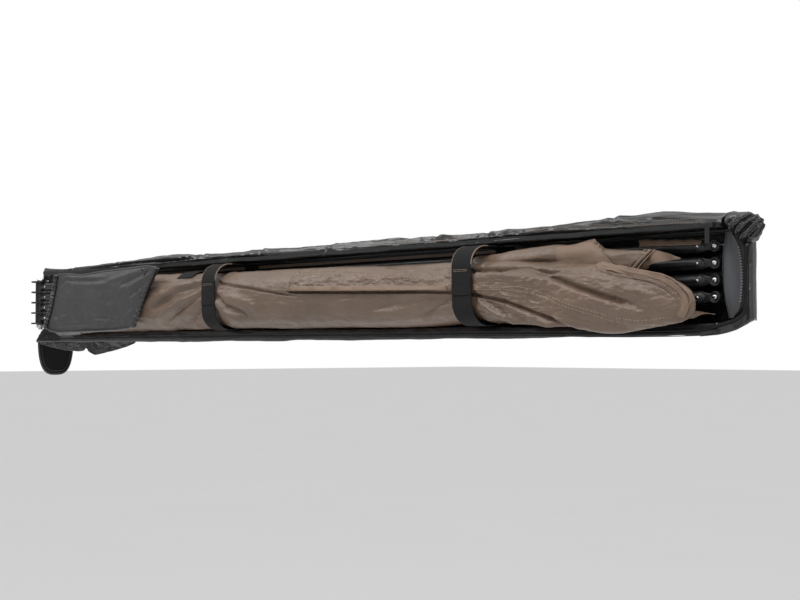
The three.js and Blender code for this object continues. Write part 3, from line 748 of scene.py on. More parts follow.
def stretched(rings, stations):
    """More stations along a ring grid, on smooth lines."""
    old, new = np.linspace(0, 1, len(rings)), np.linspace(0, 1, stations)
    out = at_run(rings.reshape(len(rings), -1), old, new)
    return softened(out.reshape(stations, *rings.shape[1:]), 6, 0)


def frontal(rings, count):
    """Moves a skin's columns closer together on its front."""
    mean = rings.mean(0)
    share = ease01((mean[:, 1].max() - mean[:, 1]) / np.ptp(mean[:, 1]) * 1.6 - 0.3)
    place = np.concatenate([[0], np.cumsum(1 + FRONT_GAIN * (share + np.roll(share, -1)) / 2)])
    index = np.interp(np.linspace(0, place[-1], count, endpoint=False), place, np.arange(len(place)))
    low = np.floor(index).astype(int)
    t = (index - low)[None, :, None]
    return rings[:, low % len(mean)] * (1 - t) + rings[:, (low + 1) % len(mean)] * t


def reshaped(rings, table, start, reach):
    """Blends ring sections into ovals: the table gives x, low and high z, back and front y."""
    rings = rings.copy()
    table = np.asarray(table, float)
    angle = full_turn(rings.shape[1])
    for i, x in enumerate(rings[:, 0, 0]):
        share = ease01((x - start) / reach)
        if share <= 0:
            continue
        low, high, back, front = (np.interp(x, table[:, 0], table[:, c]) for c in range(1, 5))
        oval_y = (back + front) / 2 + (back - front) / 2 * np.sign(np.cos(angle)) \
            * np.abs(np.cos(angle)) ** 0.8
        oval_z = (low + high) / 2 + (high - low) / 2 * np.sign(np.sin(angle)) \
            * np.abs(np.sin(angle)) ** 0.9
        rings[i, :, 1] += share * (oval_y - rings[i, :, 1])
        rings[i, :, 2] += share * (oval_z - rings[i, :, 2])
    return rings


def ring_normals(rings):
    wrapped = np.concatenate([rings[:, -1:], rings, rings[:, :1]], 1)
    n = normals_of(wrapped)[:, 1:-1]
    centre = rings.mean(1, keepdims=True)
    sign = np.sign(((rings - centre) * n).sum(2).mean())
    return n * sign


def ease01(t):
    t = np.clip(t, 0, 1)
    return t * t * (3 - 2 * t)


def ripple(points, scale, octaves, kind="plain"):
    """Smooth noise at points, with features per metre along each axis."""
    flat = (points.reshape(-1, 3) * np.asarray(scale, float)).tolist()
    if kind == "ridged":
        values = [noise.ridged_multi_fractal(p, 0.9, 2.1, octaves, 1.0, 2.0) for p in flat]
        values = np.array(values) - 1.0
    else:
        values = np.array([noise.fractal(p, 0.9, 2.1, octaves) for p in flat])
    return values.reshape(points.shape[:-1])


class Relief:
    """Depth added to a skin, by lines drawn on its front in X and Z."""

    def __init__(self, rings):
        self.rings = rings
        self.normals = ring_normals(rings)
        self.x, self.z = rings[..., 0], rings[..., 2]
        self.depth = np.zeros(self.x.shape)
        self.front = ease01((-self.normals[..., 1] + 0.25) / 0.6)

    def near(self, line):
        """Distance from a line, positive above it, the share of its length, and its run."""
        line = np.asarray(line, float)
        best = np.full(self.x.shape, 1e9)
        signed = np.zeros(self.x.shape)
        run = np.zeros(self.x.shape)
        start = 0.0
        for (ax, az), (bx, bz) in zip(line, line[1:]):
            dx, dz = bx - ax, bz - az
            size = math.hypot(dx, dz)
            t = np.clip(((self.x - ax) * dx + (self.z - az) * dz) / size ** 2, 0, 1)
            off = np.hypot(self.x - ax - t * dx, self.z - az - t * dz)
            side = np.sign(dx * (self.z - az) - dz * (self.x - ax))
            closer = off < best
            best = np.where(closer, off, best)
            signed = np.where(closer, off * side, signed)
            run = np.where(closer, start + t * size, run)
            start += size
        return signed, run / start, run

    def taper(self, share, open_start, open_end):
        start = 1 if open_start else ease01(share / 0.25)
        return start * (1 if open_end else ease01((1 - share) / 0.25))

    def lap(self, line, rise, reach, groove, width, open_start=True, open_end=False):
        """One layer of cloth over the next, with its edge along the line."""
        off, share, _ = self.near(line)
        fade = self.taper(share, open_start, open_end) * self.front
        above = ease01(off / width * 0.5 + 0.5) * np.exp(-np.maximum(off, 0) / reach)
        dip = np.exp(-((off + width * 1.1) / width) ** 2)
        self.depth += fade * (rise * above - groove * dip)

    def fold(self, line, height, width, open_start=False, open_end=False):
        """A ridge, or with a height below zero a valley, along the line."""
        off, share, _ = self.near(line)
        fade = self.taper(share, open_start, open_end) * self.front
        self.depth += fade * height * np.exp(-(off / width) ** 2)

    def pucker(self, line, height, width, pitch):
        """The small gathers that a seam draws up beside it."""
        off, _, run = self.near(line)
        wave = np.sin(2 * math.pi * run / pitch + 3 * np.sin(run * 40))
        self.depth += self.front * height * wave * np.exp(-(off / width) ** 2)

    def fan(self, x, z, side, height, count, reach, phase):
        """Folds that run out from a strap to one side."""
        dx = (self.x - x) * side
        dz = self.z - z
        angle = np.arctan2(dz, np.maximum(dx, 0.004) + 0.04)
        away = np.maximum(dx, 0)
        fade = ease01(away / 0.012) * np.exp(-away / reach) * (dx > 0)
        ridge = 1 - np.abs(np.sin(angle * count + phase))
        self.depth += self.front * fade * height * (ridge - 0.5)

    def crumple(self, low, high, height, scale, octaves, kind="plain"):
        """Roughness kept between two corners of the front, in X and Z."""
        inside = (ease01((self.x - low[0]) / 0.01) * ease01((high[0] - self.x) / 0.01)
                  * ease01((self.z - low[1]) / 0.01) * ease01((high[1] - self.z) / 0.01))
        self.depth += self.front * inside * height * ripple(self.rings, scale, octaves, kind)

    def pinch(self, low, high, depth):
        """Draws the front in under a strap."""
        inside = ease01((self.x - low) / 0.006 + 1) * ease01((high - self.x) / 0.006 + 1)
        self.depth -= self.front * inside * depth

    def roughen(self, height, scale, octaves, kind="plain"):
        self.depth += height * ripple(self.rings, scale, octaves, kind)

    def done(self, name, end_ease=3):
        edge = np.minimum(np.arange(len(self.rings)), np.arange(len(self.rings))[::-1])
        hold = ease01(edge / end_ease)[:, None]
        return skin(name, self.rings + self.normals * (self.depth * hold)[..., None])


def on_front(tree, x, z, lift=0.0):
    """The point and normal of a piece's front at X and Z."""
    hit, normal, _, _ = tree.ray_cast(Vector((x, -0.4, z)), Vector((0, 1, 0)))
    if hit is None:
        return None, None
    if normal.y > 0:
        normal = -normal
    return hit + normal * lift, normal


def seated(tree, place, lift):
    """The nearest point on a piece, lifted off its surface."""
    spot, normal, _, _ = tree.find_nearest(Vector(place))
    return spot + normal * lift


def line_on_front(tree, line, step, lift):
    """A path over a piece's front, under a line drawn in X and Z."""
    line = curve_through(line, 200)
    run = run_along(line)
    found = [on_front(tree, x, z, lift) for x, z in at_run(line, run, np.arange(0, run[-1], step))]
    kept = [(p, n) for p, n in found if p is not None]
    return [p for p, _ in kept], [n for _, n in kept]


def stitches(name, tree, line, pitch=0.0075, length=0.0052, radius=0.00065, lift=0.0003):
    """A row of sewn stitches along a line on a piece's front."""
    points, normals = map(np.array, line_on_front(tree, line, pitch / 4, lift))
    run = run_along(points)
    verts, faces = [], []
    sides, profile = 6, ((-0.5, 0.15), (-0.38, 0.8), (0.0, 1.0), (0.38, 0.8), (0.5, 0.15))
    for s in np.arange(pitch, run[-1] - pitch, pitch):
        centre, up = at_run(points, run, s), at_run(normals, run, s)
        t = unit(at_run(points, run, s + pitch / 2) - centre)
        up = unit(up - t * up.dot(t))
        side = np.cross(t, up)
        base = len(verts)
        for place, share in profile:
            for k in range(sides):
                a = 2 * math.pi * k / sides
                verts.append(centre + t * place * length
                             + radius * share * (math.cos(a) * side + math.sin(a) * up))
        faces += [tuple(base + i for i in f) for f in grid_faces(len(profile), sides, True)]
        faces.append(tuple(base + k for k in reversed(range(sides))))
        faces.append(tuple(base + (len(profile) - 1) * sides + k for k in range(sides)))
    return outward(piece(name, verts, faces))


def band_on_front(name, tree, line, width, thick, lift, bead=0.0):
    """A flat band sewn along a line on a piece's front, with a bead along its middle."""
    path, up = (evened(np.array(values), 8) for values in line_on_front(tree, line, 0.003, lift))
    side = unit(np.cross(unit(np.gradient(path, axis=0)), up))
    share = np.linspace(-0.5, 0.5, 7)
    crown = thick * (1 - (2 * share) ** 4) + bead * np.cos(2 * math.pi * share) ** 2
    grid = (path[:, None, :] + side[:, None, :] * (share * width)[None, :, None]
            + up[:, None, :] * crown[None, :, None])
    return cloth(name, grid, thick)


# Canopy

UPPER_LAP = points_mm((592, 18), (637, 17), (711, 14), (776, 5), (837, -16), (890, -33),
    (945, -47), (992, -63))
LOWER_LAP = points_mm((597, -25), (684, -41), (739, -58), (792, -74), (843, -96))
PANEL_SEAM = points_mm((600, -16), (732, -25), (826, -54), (925, -80), (989, -84), (1030, -78))
POCKET_LAP = points_mm((81, -8), (288, -14), (487, -19), (548, -21))
POCKET_END = points_mm((81, -9), (80, 10), (81, 29))
POCKET_SEAM = points_mm((82, 27), (228, 24), (404, 9), (546, -8))
LAYER_LAP = points_mm((-190, 22), (-172, 17), (-70, 5), (67, -13), (133, -21))
TOP_CREASE = points_mm((330, 33), (420, 31), (500, 27), (578, 22))
LEAF_EDGE = points_mm((868, 15), (918, 4), (960, -4), (1003, -13), (1030, -24), (1050, -38),
    (1060, -52), (1056, -66), (1046, -76))
NOSE = points_mm(  # x, low and high z, back and front y
    (700, -100, 38, -78, -168), (800, -104, 34, -80, -164), (860, -106, 24, -84, -160),
    (918, -101, 11, -98, -156), (960, -96, 3, -110, -154), (1003, -91, -5, -121, -153),
    (1034, -86, -18, -130, -151), (1052, -82, -28, -134, -149), (1063, -77, -36, -137, -147),
    (1069, -70, -44, -139, -145), (1071, -64, -50, -140, -143))
UPPER_LAYER = points_mm((560, 8, 45, -78, -128), (630, 4, 47, -78, -130), (705, 2, 50, -78, -130),
    (808, 0, 54, -79, -126), (834, 0, 57, -82, -122), (852, 0, 44, -86, -118),
    (870, 0, 42, -88, -114), (905, 1, 39, -90, -110), (930, 3, 37, -92, -108),
    (944, 6, 34, -94, -105))
FOLD_GAIN = 1.6
ROLL_STATIONS, ROLL_SIDES = 780, 270
STRAP_FOLDS = [  # points in millimetres, height and width in metres
    (((-240, -8), (-330, -40), (-430, -75)), -0.005, 0.006),
    (((-240, 4), (-320, -18), (-440, -62)), 0.0045, 0.009),
    (((-240, 18), (-340, 4), (-470, -38)), -0.0045, 0.007),
    (((-240, -22), (-300, -52), (-370, -80)), 0.004, 0.008),
    (((-185, -12), (-150, -36), (-70, -61)), -0.005, 0.007),
    (((-187, -24), (-150, -52), (-100, -70)), 0.004, 0.01),
    (((-188, -5), (-120, -18), (0, -48)), 0.003, 0.012),
    (((-240, -30), (-290, -58), (-420, -82)), -0.004, 0.01),
    (((-240, -8), (-320, -30), (-470, -70)), 0.004, 0.014),
    (((-240, 6), (-330, -8), (-500, -40)), -0.003, 0.01),
    (((-240, 20), (-330, 14), (-420, -5), (-505, -26)), 0.003, 0.012),
    (((-238, -46), (-260, -66), (-300, -84)), -0.004, 0.007),
    (((556, -26), (480, -32), (380, -44), (300, -56)), -0.0035, 0.009),
    (((556, -34), (500, -52), (455, -72)), -0.0045, 0.008),
    (((556, -20), (470, -26), (400, -34)), 0.003, 0.01),
    (((602, -30), (650, -52), (700, -78)), -0.005, 0.007),
    (((602, -38), (640, -66), (668, -86)), -0.004, 0.006),
    (((602, -34), (660, -62), (730, -84)), 0.004, 0.008),
    (((602, 4), (680, 2), (780, -12), (880, -52)), 0.003, 0.016),
    (((690, -52), (740, -72), (800, -92)), 0.0035, 0.007),
    (((860, -44), (920, -62), (990, -74)), 0.003, 0.012),
    (((930, -20), (985, -38), (1020, -60)), 0.0025, 0.012),
    (((900, 6), (950, -14), (1000, -28)), -0.002, 0.01),
    (((800, -78), (880, -96), (950, -98)), 0.0025, 0.008),
]


def laid_over(rings, node):
    """Brings the front of a ring grid out to another CAD solid that lies on it."""
    tree = tree_of(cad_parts[node])
    low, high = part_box(node)
    near = (rings[..., 0] > low.x) & (rings[..., 0] < high.x) & (rings[..., 1] < -0.13)
    for i, j in zip(*np.nonzero(near)):
        x, y, z = rings[i, j]
        hit, _ = on_front(tree, x, z)
        if hit is not None:
            rings[i, j, 1] = min(y, hit.y)
    return softened(rings, 3, 2)


def mount_painted_light_hem(obj, body="arm_4"):
    """Mounts a piece of the canopy's hems and linings in the lighter copy of the canopy cloth, painted
    light for cloth that lies in the cover's shadow.
    """
    mount(obj, body, "canopy_cloth", finish="canopy_hem_painted_light")


def canopy_squash(obj):
    """Gives a piece its own copy of its mesh."""
    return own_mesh(obj)


def make_roll(canopy):
    rings = frontal(softened(rings_of("canopy_roll", 150, 200), 5, 3), ROLL_SIDES)
    rings = softened(stretched(rings, ROLL_STATIONS), 0, 2)
    rings = laid_over(rings, "canopy_lower_fold")
    last = NOSE[-1][0]
    tip = ease01((rings[:, :, 0] - 0.8) / 0.26)
    rings[..., 0] += tip * (last - 0.0006 - rings[-1, 0, 0])
    rings = softened(reshaped(rings, NOSE, 0.76, 0.17), 4, 1)
    relief = Relief(rings)
    deep, rise = canopy.fold_depth, canopy.lap_rise
    relief.lap(UPPER_LAP, rise * 1.2, 0.035, deep * 1.1, 0.0045)
    relief.lap(LOWER_LAP, rise * 1.2, 0.03, deep * 0.8, 0.0028)
    relief.lap(POCKET_LAP, rise * 1.1, 0.025, deep * 0.9, 0.0022, open_end=True)
    relief.lap(LAYER_LAP, rise * 0.9, 0.03, deep * 0.5, 0.0024)
    relief.fold(POCKET_END, -0.0045, 0.0022, True, True)
    relief.fold(moved(POCKET_END, 0.006, 0), 0.0018, 0.003, True, True)
    relief.fold(TOP_CREASE, -0.005, 0.0032, False, True)
    for line in (PANEL_SEAM, POCKET_SEAM):
        relief.fold(line, 0.0012, 0.007, True, True)
        relief.pucker(line, 0.0007, 0.014, 0.021)
    for line, height, width in STRAP_FOLDS:
        relief.fold(points_mm(*line), height * FOLD_GAIN, width, open_start=True)
    relief.crumple(mm(84, -10), mm(560, 26), 0.0022, (22, 20, 40), 4)
    relief.crumple(mm(84, -10), mm(560, 26), 0.001, (60, 40, 110), 3, "ridged")
    relief.crumple(mm(620, -90), mm(1060, 16), 0.0018, (20, 20, 34), 4)
    relief.crumple(mm(600, -90), mm(1060, 20), 0.0012, (50, 40, 100), 3, "ridged")
    relief.fold(moved(POCKET_LAP, 0, 0.0042), 0.0016, 0.0022, True, True)
    for shift in (-0.0125, 0.0):
        relief.lap(moved(LEAF_EDGE, shift, shift * 0.5), 0.0012, 0.006, 0.001, 0.0014)
    for strap, turns in (("strap_rear", (0.4, 1.1)), ("strap_front", (0.2, 0.9))):
        low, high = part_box(strap)
        relief.fan(low.x, -0.012, -1, 0.0035, 6.5, 0.09, turns[0])
        relief.fan(high.x, -0.012, 1, 0.0035, 6.5, 0.09, turns[1])
        relief.pinch(low.x, high.x, 0.0035)
    relief.roughen(0.0024, (5, 9, 14), 3)
    relief.roughen(0.001, (20, 30, 60), 4, "ridged")
    roll = relief.done("canopy_roll_cloth")
    mount(roll, "arm_4", "canopy_cloth", "canopy_roll", "canopy_lower_fold")
    tree = tree_of(roll)
    rows = []
    for i, (line, gap) in enumerate(((PANEL_SEAM, 0.0035), (POCKET_SEAM, 0.003))):
        for side in (-1, 1):
            rows.append(stitches(f"seam_{i}_{side}", tree, moved(line, 0, side * gap)))
    rows.append(stitches("leaf_seam", tree, moved(LEAF_EDGE, -0.008, -0.003),
                         0.005, 0.0034, 0.00045, 0.0012))
    seams = merged("canopy_stitching", rows)
    mount(seams, "arm_4", "canopy_cloth", finish="sewing_thread")
    canopy_squash(seams)
    hem = band_on_front("leaf_hem", tree, LEAF_EDGE, canopy.hem_width, 0.0016, 0.0004, bead=0.0012)
    lip = rod("leaf_lip", line_on_front(tree, moved(LEAF_EDGE, 0.006, 0.004), 0.004, 0.0006)[0],
              0.0018, 10)
    pocket = band_on_front("pocket_hem", tree, moved(POCKET_LAP, 0, 0.005), 0.01, 0.0008, 0.0002)
    hems = merged("canopy_leaf_hem", [hem, lip, pocket])
    mount_painted_light_hem(hems)
    canopy_squash(hems)
    canopy_squash(roll)


def make_roll_wrap():
    """The black band that closes the roll's rear end."""
    rings = softened(rings_of("canopy_roll", 240, 120), 2, 1)[0:14]
    normals = ring_normals(rings)
    grid = rings + normals * (0.0014 + 0.0012 * ripple(rings, (12, 16, 16), 3))[..., None]
    grid = np.concatenate([grid, grid[:, :1]], 1)
    wrap = cloth("roll_end_wrap", grid, LINING)
    mount(wrap, "arm_4", "pouch_cloth", finish="bag_vinyl")
    canopy_squash(wrap)


def make_upper_fold():
    rings = stretched(softened(rings_of("canopy_upper_fold", 70, 96), 3, 1), 240)
    low, high = rings[0, 0, 0], rings[-1, 0, 0]
    start, end = UPPER_LAYER[0][0], UPPER_LAYER[-1][0]
    rings[..., 0] = start + (rings[..., 0] - low) * (end - start) / (high - low)
    rings = softened(reshaped(rings, UPPER_LAYER, 0.0, 0.01), 2, 0)
    relief = Relief(rings)
    relief.fold(points_mm((620, 40), (700, 50), (790, 52)), 0.0025, 0.012)
    relief.fold(points_mm((700, 22), (780, 26), (850, 14)), -0.002, 0.008)
    relief.lap(points_mm((560, 24), (640, 25), (720, 30), (790, 26)), 0.003, 0.02, 0.003, 0.003)
    relief.roughen(0.0016, (9, 14, 20), 3)
    relief.roughen(0.0006, (30, 40, 60), 3, "ridged")
    fold = relief.done("canopy_upper_layer")
    mount(fold, "arm_4", "canopy_cloth", "canopy_upper_fold")
    tree = tree_of(fold)
    rows, columns = 50, 34
    low, high = (np.linspace(*ends, rows) for ends in (
        (mm(770, 0, 10), mm(884, 0, 14)), (mm(764, 0, 50), mm(838, 0, 60.5))))
    grid = ruled(low, high, columns)
    for j in range(columns):
        y = -0.118
        for i in range(rows):
            spot, _ = on_front(tree, grid[i, j, 0], min(grid[i, j, 2], 0.054))
            y = spot.y if spot is not None and spot.y < y + 0.004 else y + 0.0002
            grid[i, j, 1] = y - 0.0012 - 0.0022 * (i / rows) ** 2
    grid = softened(grid, 3, 0)
    grid[:, 1:-1, 1] = (grid[:, :-2, 1] + 2 * grid[:, 1:-1, 1] + grid[:, 2:, 1]) / 4
    flap = cloth("canopy_corner_flap", grid, LAYER)
    mount_painted_light_hem(flap)
    edge = rod("corner_flap_edge", grid[-1] + (0, -0.0004, 0), 0.0013, 8)
    mount_painted_light_hem(edge)
    for obj in (fold, flap, edge):
        canopy_squash(obj)


def make_corner_strip():
    """The turned-back corner of the canopy, with its dark binding lines."""
    low, high = np.array(mm(906, -113.5, 2)), np.array(mm(937, -98, 39))
    across = np.array(mm(23, 1.5, -2))
    u, v = unit_grid(40, 26)
    base = low + u[..., None] * (high - low) + v[..., None] * across
    base[..., 1] -= 0.0016 * np.cos(4 * math.pi * v) + 0.003 * np.sin(math.pi * u)
    strip = cloth("corner_strip_cloth", base, LAYER)
    mount_painted_light_hem(strip)
    bars = [rod(f"binding_{j}", base[1:-1, j] + (0, -0.0012, 0), 0.0014, 8, 0.6) for j in (7, 18)]
    binding = merged("corner_strip_binding", bars)
    mount(binding, "arm_4", "webbing")
    for obj in (strip, binding):
        canopy_squash(obj)


def make_corner_wing():
    """The cloth that runs on from the corner strip to a point beside the second arm."""
    lines = [points_mm((955, -98, 37), (968, -96, 34), (985, -92, 29), (1003, -88, 22)),
             points_mm((938, -104, 8), (955, -100, 14), (980, -93, 18), (1004, -88, 20))]
    grid = ruled(*(curve_through(line, 40) for line in lines), 20)
    grid[..., 1] += 0.0018 * np.sin(grid[..., 0] * 160 + grid[..., 2] * 110)
    wing = cloth("corner_wing_cloth", grid, LAYER)
    mount_painted_light_hem(wing)
    canopy_squash(wing)


def make_floor_corner():
    """The inner layer that shows under the roll's nose, lying on the bag's floor."""
    a = curve_through(points_mm((960, -128, -82), (1010, -120, -80), (1046, -112, -78)), 24)
    b = curve_through(points_mm((990, -96, -68), (1030, -92, -66), (1072, -90, -72)), 24)
    grid = ruled(a, b, 16)
    grid[..., 2] += 0.004 * np.sin(math.pi * np.linspace(0, 1, 16))
    corner = cloth("canopy_floor_corner", grid, LAYER)
    mount(corner, "arm_4", "canopy_cloth")
    canopy_squash(corner)


def make_hem_sleeve():
    """The canopy's sewn edge, wrapped over the front of the top arm."""
    x = np.linspace(0.904, 1.029, 70)[:, None]
    t = (x - x[0]) / (x[-1] - x[0])
    turn = np.radians(np.linspace(24 - 12 * t[:, 0], 122, 40, axis=1))
    r = 0.0124 + 0.0006 * np.sin(x * 210 + 2 * turn) + 0.0055 * (1 - t) ** 1.5 * ease01(turn - 0.5)
    grid = grid_of(x + 0.004 * np.sin(turn * 3), ARM_Y - r * np.cos(turn), level_z(1) + r * np.sin(turn))
    sleeve = cloth("canopy_hem_sleeve", grid, LAYER)
    # The sleeve takes the lighter copy of the canopy cloth: painted light on the strip under the cover
    mount(sleeve, "arm_1", "canopy_cloth", "canopy_hem", finish="canopy_hem_painted_light")
    bars = [rod("hem_edge", grid[:, 1] + (0, -0.0006, 0), 0.0011, 8),
            rod("hem_end", grid[-1] + (0.0003, 0, 0), 0.0011, 8)]
    edge = merged("hem_sleeve_edge", bars)
    mount_painted_light_hem(edge, "arm_1")


GORE_START, GORE_END, GORE_Y = -1.03, 0.8, -0.0503


def make_gores():
    """The cloth between one arm and the next, gathered behind the tubes while stowed."""
    levels = [level_z(1) + 0.0185] + [level_z(k) for k in LEVELS]
    xs = np.linspace(GORE_START, GORE_END, 90)
    for k in LEVELS:
        high, low = levels[k - 1], levels[k]
        grid = grid_of(xs[:, None], GORE_Y + 0.0006 * np.sin(xs * 31 + k)[:, None],
                       np.linspace(high, low, 40))
        gore = cloth(f"canopy_gore_{k}", grid, TAPE)
        gore.data.materials.append(finish_for("canopy_cloth"))
        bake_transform(gore)


def make_apex():
    """The black patches at the hub, crumpled between one arm and the next."""
    for k in LEVELS[1:]:
        high, low = level_z(k - 1), level_z(k)
        u, v = unit_grid(60, 30)
        clear = 0.008 + 0.0016 * ease01((u - 0.15) / 0.1)
        grid = grid_of(-1.133 + 0.112 * u, -0.067 - 0.0045 * np.sin(math.pi * v),
                       (high - clear) + (low - high + 2 * clear) * v)
        grid[..., 1] += 0.0016 * ripple(grid + (0, 0.3 * k, 0), (60, 20, 110), 3, "ridged")
        patch = cloth(f"canopy_apex_{k}", grid, LINING)
        patch.data.materials.append(finish_for("bag_vinyl"))
        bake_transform(patch)


# Straps and pouch

WEBBING_SHARP = math.radians(60)
CORNER_STEPS = 14


def rounded_loop(back, front, bottom, top, front_radius, back_radius):
    corners = [(back - back_radius, top - back_radius, back_radius, 0),
               (front + front_radius, top - front_radius, front_radius, 1),
               (front + front_radius, bottom + front_radius, front_radius, 2),
               (back - back_radius, bottom + back_radius, back_radius, 3)]
    path = []
    for y, z, r, quarter in corners:
        for i in range(CORNER_STEPS + 1):
            a = math.pi / 2 * (quarter + i / CORNER_STEPS)
            path.append((y + r * math.cos(a), z + r * math.sin(a)))
    return np.array(path)


def woven(name, x, path, out, run, section, shut, lean=0.0):
    """Webbing of one section along a path in Y and Z, joined end to end where it is shut."""
    points, uv = [], []
    for (py, pz), (oy, oz), s in zip(path, out, run):
        tip = lean * ease01(pz / 0.07)
        for u, v in section:
            points.append((x + u + tip, py + oy * v, pz + oz * v))
            uv.append((s, u))
    rows, columns = len(path), len(section)
    faces = grid_faces(rows, columns, True)
    last = (rows - 1) * columns
    if shut:
        faces += [(last + c, last + (c + 1) % columns, (c + 1) % columns, c) for c in range(columns)]
    else:
        faces += [tuple(reversed(range(columns))), tuple(range(last, last + columns))]
    return outward(piece(name, points, faces, uv), WEBBING_SHARP, weld=False)


def webbing_loop(name, x, width, path, thickness, lean):
    """A closed band of webbing round a path in Y and Z."""
    path, run = closed_even(path, 180)
    tangent = unit(np.roll(path, -1, 0) - np.roll(path, 1, 0))
    out = np.stack([tangent[:, 1], -tangent[:, 0]], 1)
    centre = path.mean(0)
    out *= np.sign(((path - centre) * out).sum(1).mean())
    half, t = width / 2, thickness / 2
    section = [(-half, 0), (-half + t * 0.6, t), (-half / 2, t), (0, t), (half / 2, t),
               (half - t * 0.6, t), (half, 0), (half - t * 0.6, -t), (0, -t), (-half + t * 0.6, -t)]
    return woven(name, x, path, out, run, section, True, lean)


def webbing_patch(name, x, width, path, thickness):
    """An open length of webbing along a path in Y and Z."""
    path = np.asarray(path, float)
    tangent = unit(np.gradient(path, axis=0))
    out = np.stack([tangent[:, 1], -tangent[:, 0]], 1)
    if out[:, 0].mean() > 0:
        out = -out
    half, t = width / 2, thickness
    section = [(-half, 0), (-half, t * 0.6), (-half + t, t), (0, t), (half - t, t),
               (half, t * 0.6), (half, 0), (0, 0)]
    return woven(name, x, path, out, run_along(path), section, False)


def make_strap(name, lean, canopy):
    low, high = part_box(name)
    x, width = (low.x + high.x) / 2, high.x - low.x
    t = canopy.strap_thickness
    front = low.y + 0.0015
    path = rounded_loop(high.y - t / 2, front + t / 2, low.z + t / 2, high.z - t / 2, 0.043, 0.006)
    loop = webbing_loop(f"{name}_loop", x, width, path, t, lean)
    zs = np.linspace(-0.03, 0.0175, 30)
    keeper = webbing_patch(f"{name}_fold", x, width * 0.98, [(front, z) for z in zs], 0.0015)
    band = merged(f"{name}_webbing", [loop, keeper])
    mount(band, "arm_4", "webbing", name)
    tree = tree_of(band)
    rows = []
    for z in (0.0165, 0.0135):
        rows.append(stitches(f"{name}_row_{z}", tree,
                             [(x - width * 0.44, z), (x, z), (x + width * 0.44, z)],
                             0.0045, 0.0032, 0.00045, 0.0002))
    sewn = merged(f"{name}_stitching", rows)
    mount(sewn, "arm_4", "webbing", finish="sewing_thread")
    outer = closed_even(path, 180)[0]
    upper = outer[(outer[:, 1] > 0.024) & (outer[:, 0] < -0.122)]
    upper = upper[np.argsort(upper[:, 0])]
    bars = []
    for side in (-1, 1):
        tip = lean * ease01(upper[:, 1] / 0.07)
        line = np.stack([x + side * (width / 2 - 0.0004) + tip, upper[:, 0], upper[:, 1]], 1)
        bars.append(rod(f"{name}_edge", line, 0.0013, 8))
    edging = merged(f"{name}_binding", bars)
    mount_painted_light_hem(edging)
    for obj in (band, sewn, edging):
        canopy_squash(obj)


def make_tab():
    """The short webbing tab that comes over the roll's top and lies on its front."""
    low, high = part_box("strap_tab")
    x, width = (low.x + high.x) / 2, high.x - low.x
    tree = tree_of(bpy.data.objects["canopy_roll_cloth"])
    path = []
    for y in np.linspace((low.y + high.y) / 2, -0.14, 14):
        spot = tree.ray_cast(Vector((x, y, 0.2)), Vector((0, 0, -1)))[0]
        path.append((y, spot.z + 0.0018))
    for z in np.linspace(path[-1][1] - 0.003, 0.033, 8):
        spot, _ = on_front(tree, x, z)
        path.append((min(spot.y, path[-1][0]) - 0.0014, z))
    tab = webbing_patch("strap_tab_webbing", x, width, evened(np.array(path), 4), 0.0018)
    mount(tab, "arm_4", "webbing", "strap_tab")
    canopy_squash(tab)


POUCH_ROWS = 90
POUCH_BOTTOM = [(0, 0.011), (0.05, 0.004), (0.15, -0.001), (0.6, 0.001), (0.85, 0.003),
                (0.96, 0.006), (1, 0.01)]
POUCH_TOP = [(0, -0.002), (0.12, -0.003), (0.25, -0.007), (0.45, -0.003), (0.7, 0.0), (0.9, 0.003),
             (1, -0.002)]


def pouch_panel(sign, crown, y_mid, half):
    """One face of the pouch: a crowned panel between slanted ends."""
    u, v = unit_grid(200, POUCH_ROWS)
    low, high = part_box("peg_pouch")
    rear = low.x - 0.009 + 0.053 * (1 - v)
    front = high.x - 0.099 * v
    pull = 0.006 * np.sin(math.pi * v)
    x = rear + pull + (front - rear - 2 * pull) * u
    z = high.z - (high.z - low.z) * v
    z = z + v ** 2 * at_x(POUCH_BOTTOM, u) + (1 - v) ** 2 * at_x(POUCH_TOP, u)
    full = np.power(np.sin(math.pi * u) * np.sin(math.pi * v) + 1e-9, 0.62)
    y = y_mid + sign * (half + crown * full)
    return np.stack([x, y, z], 2)


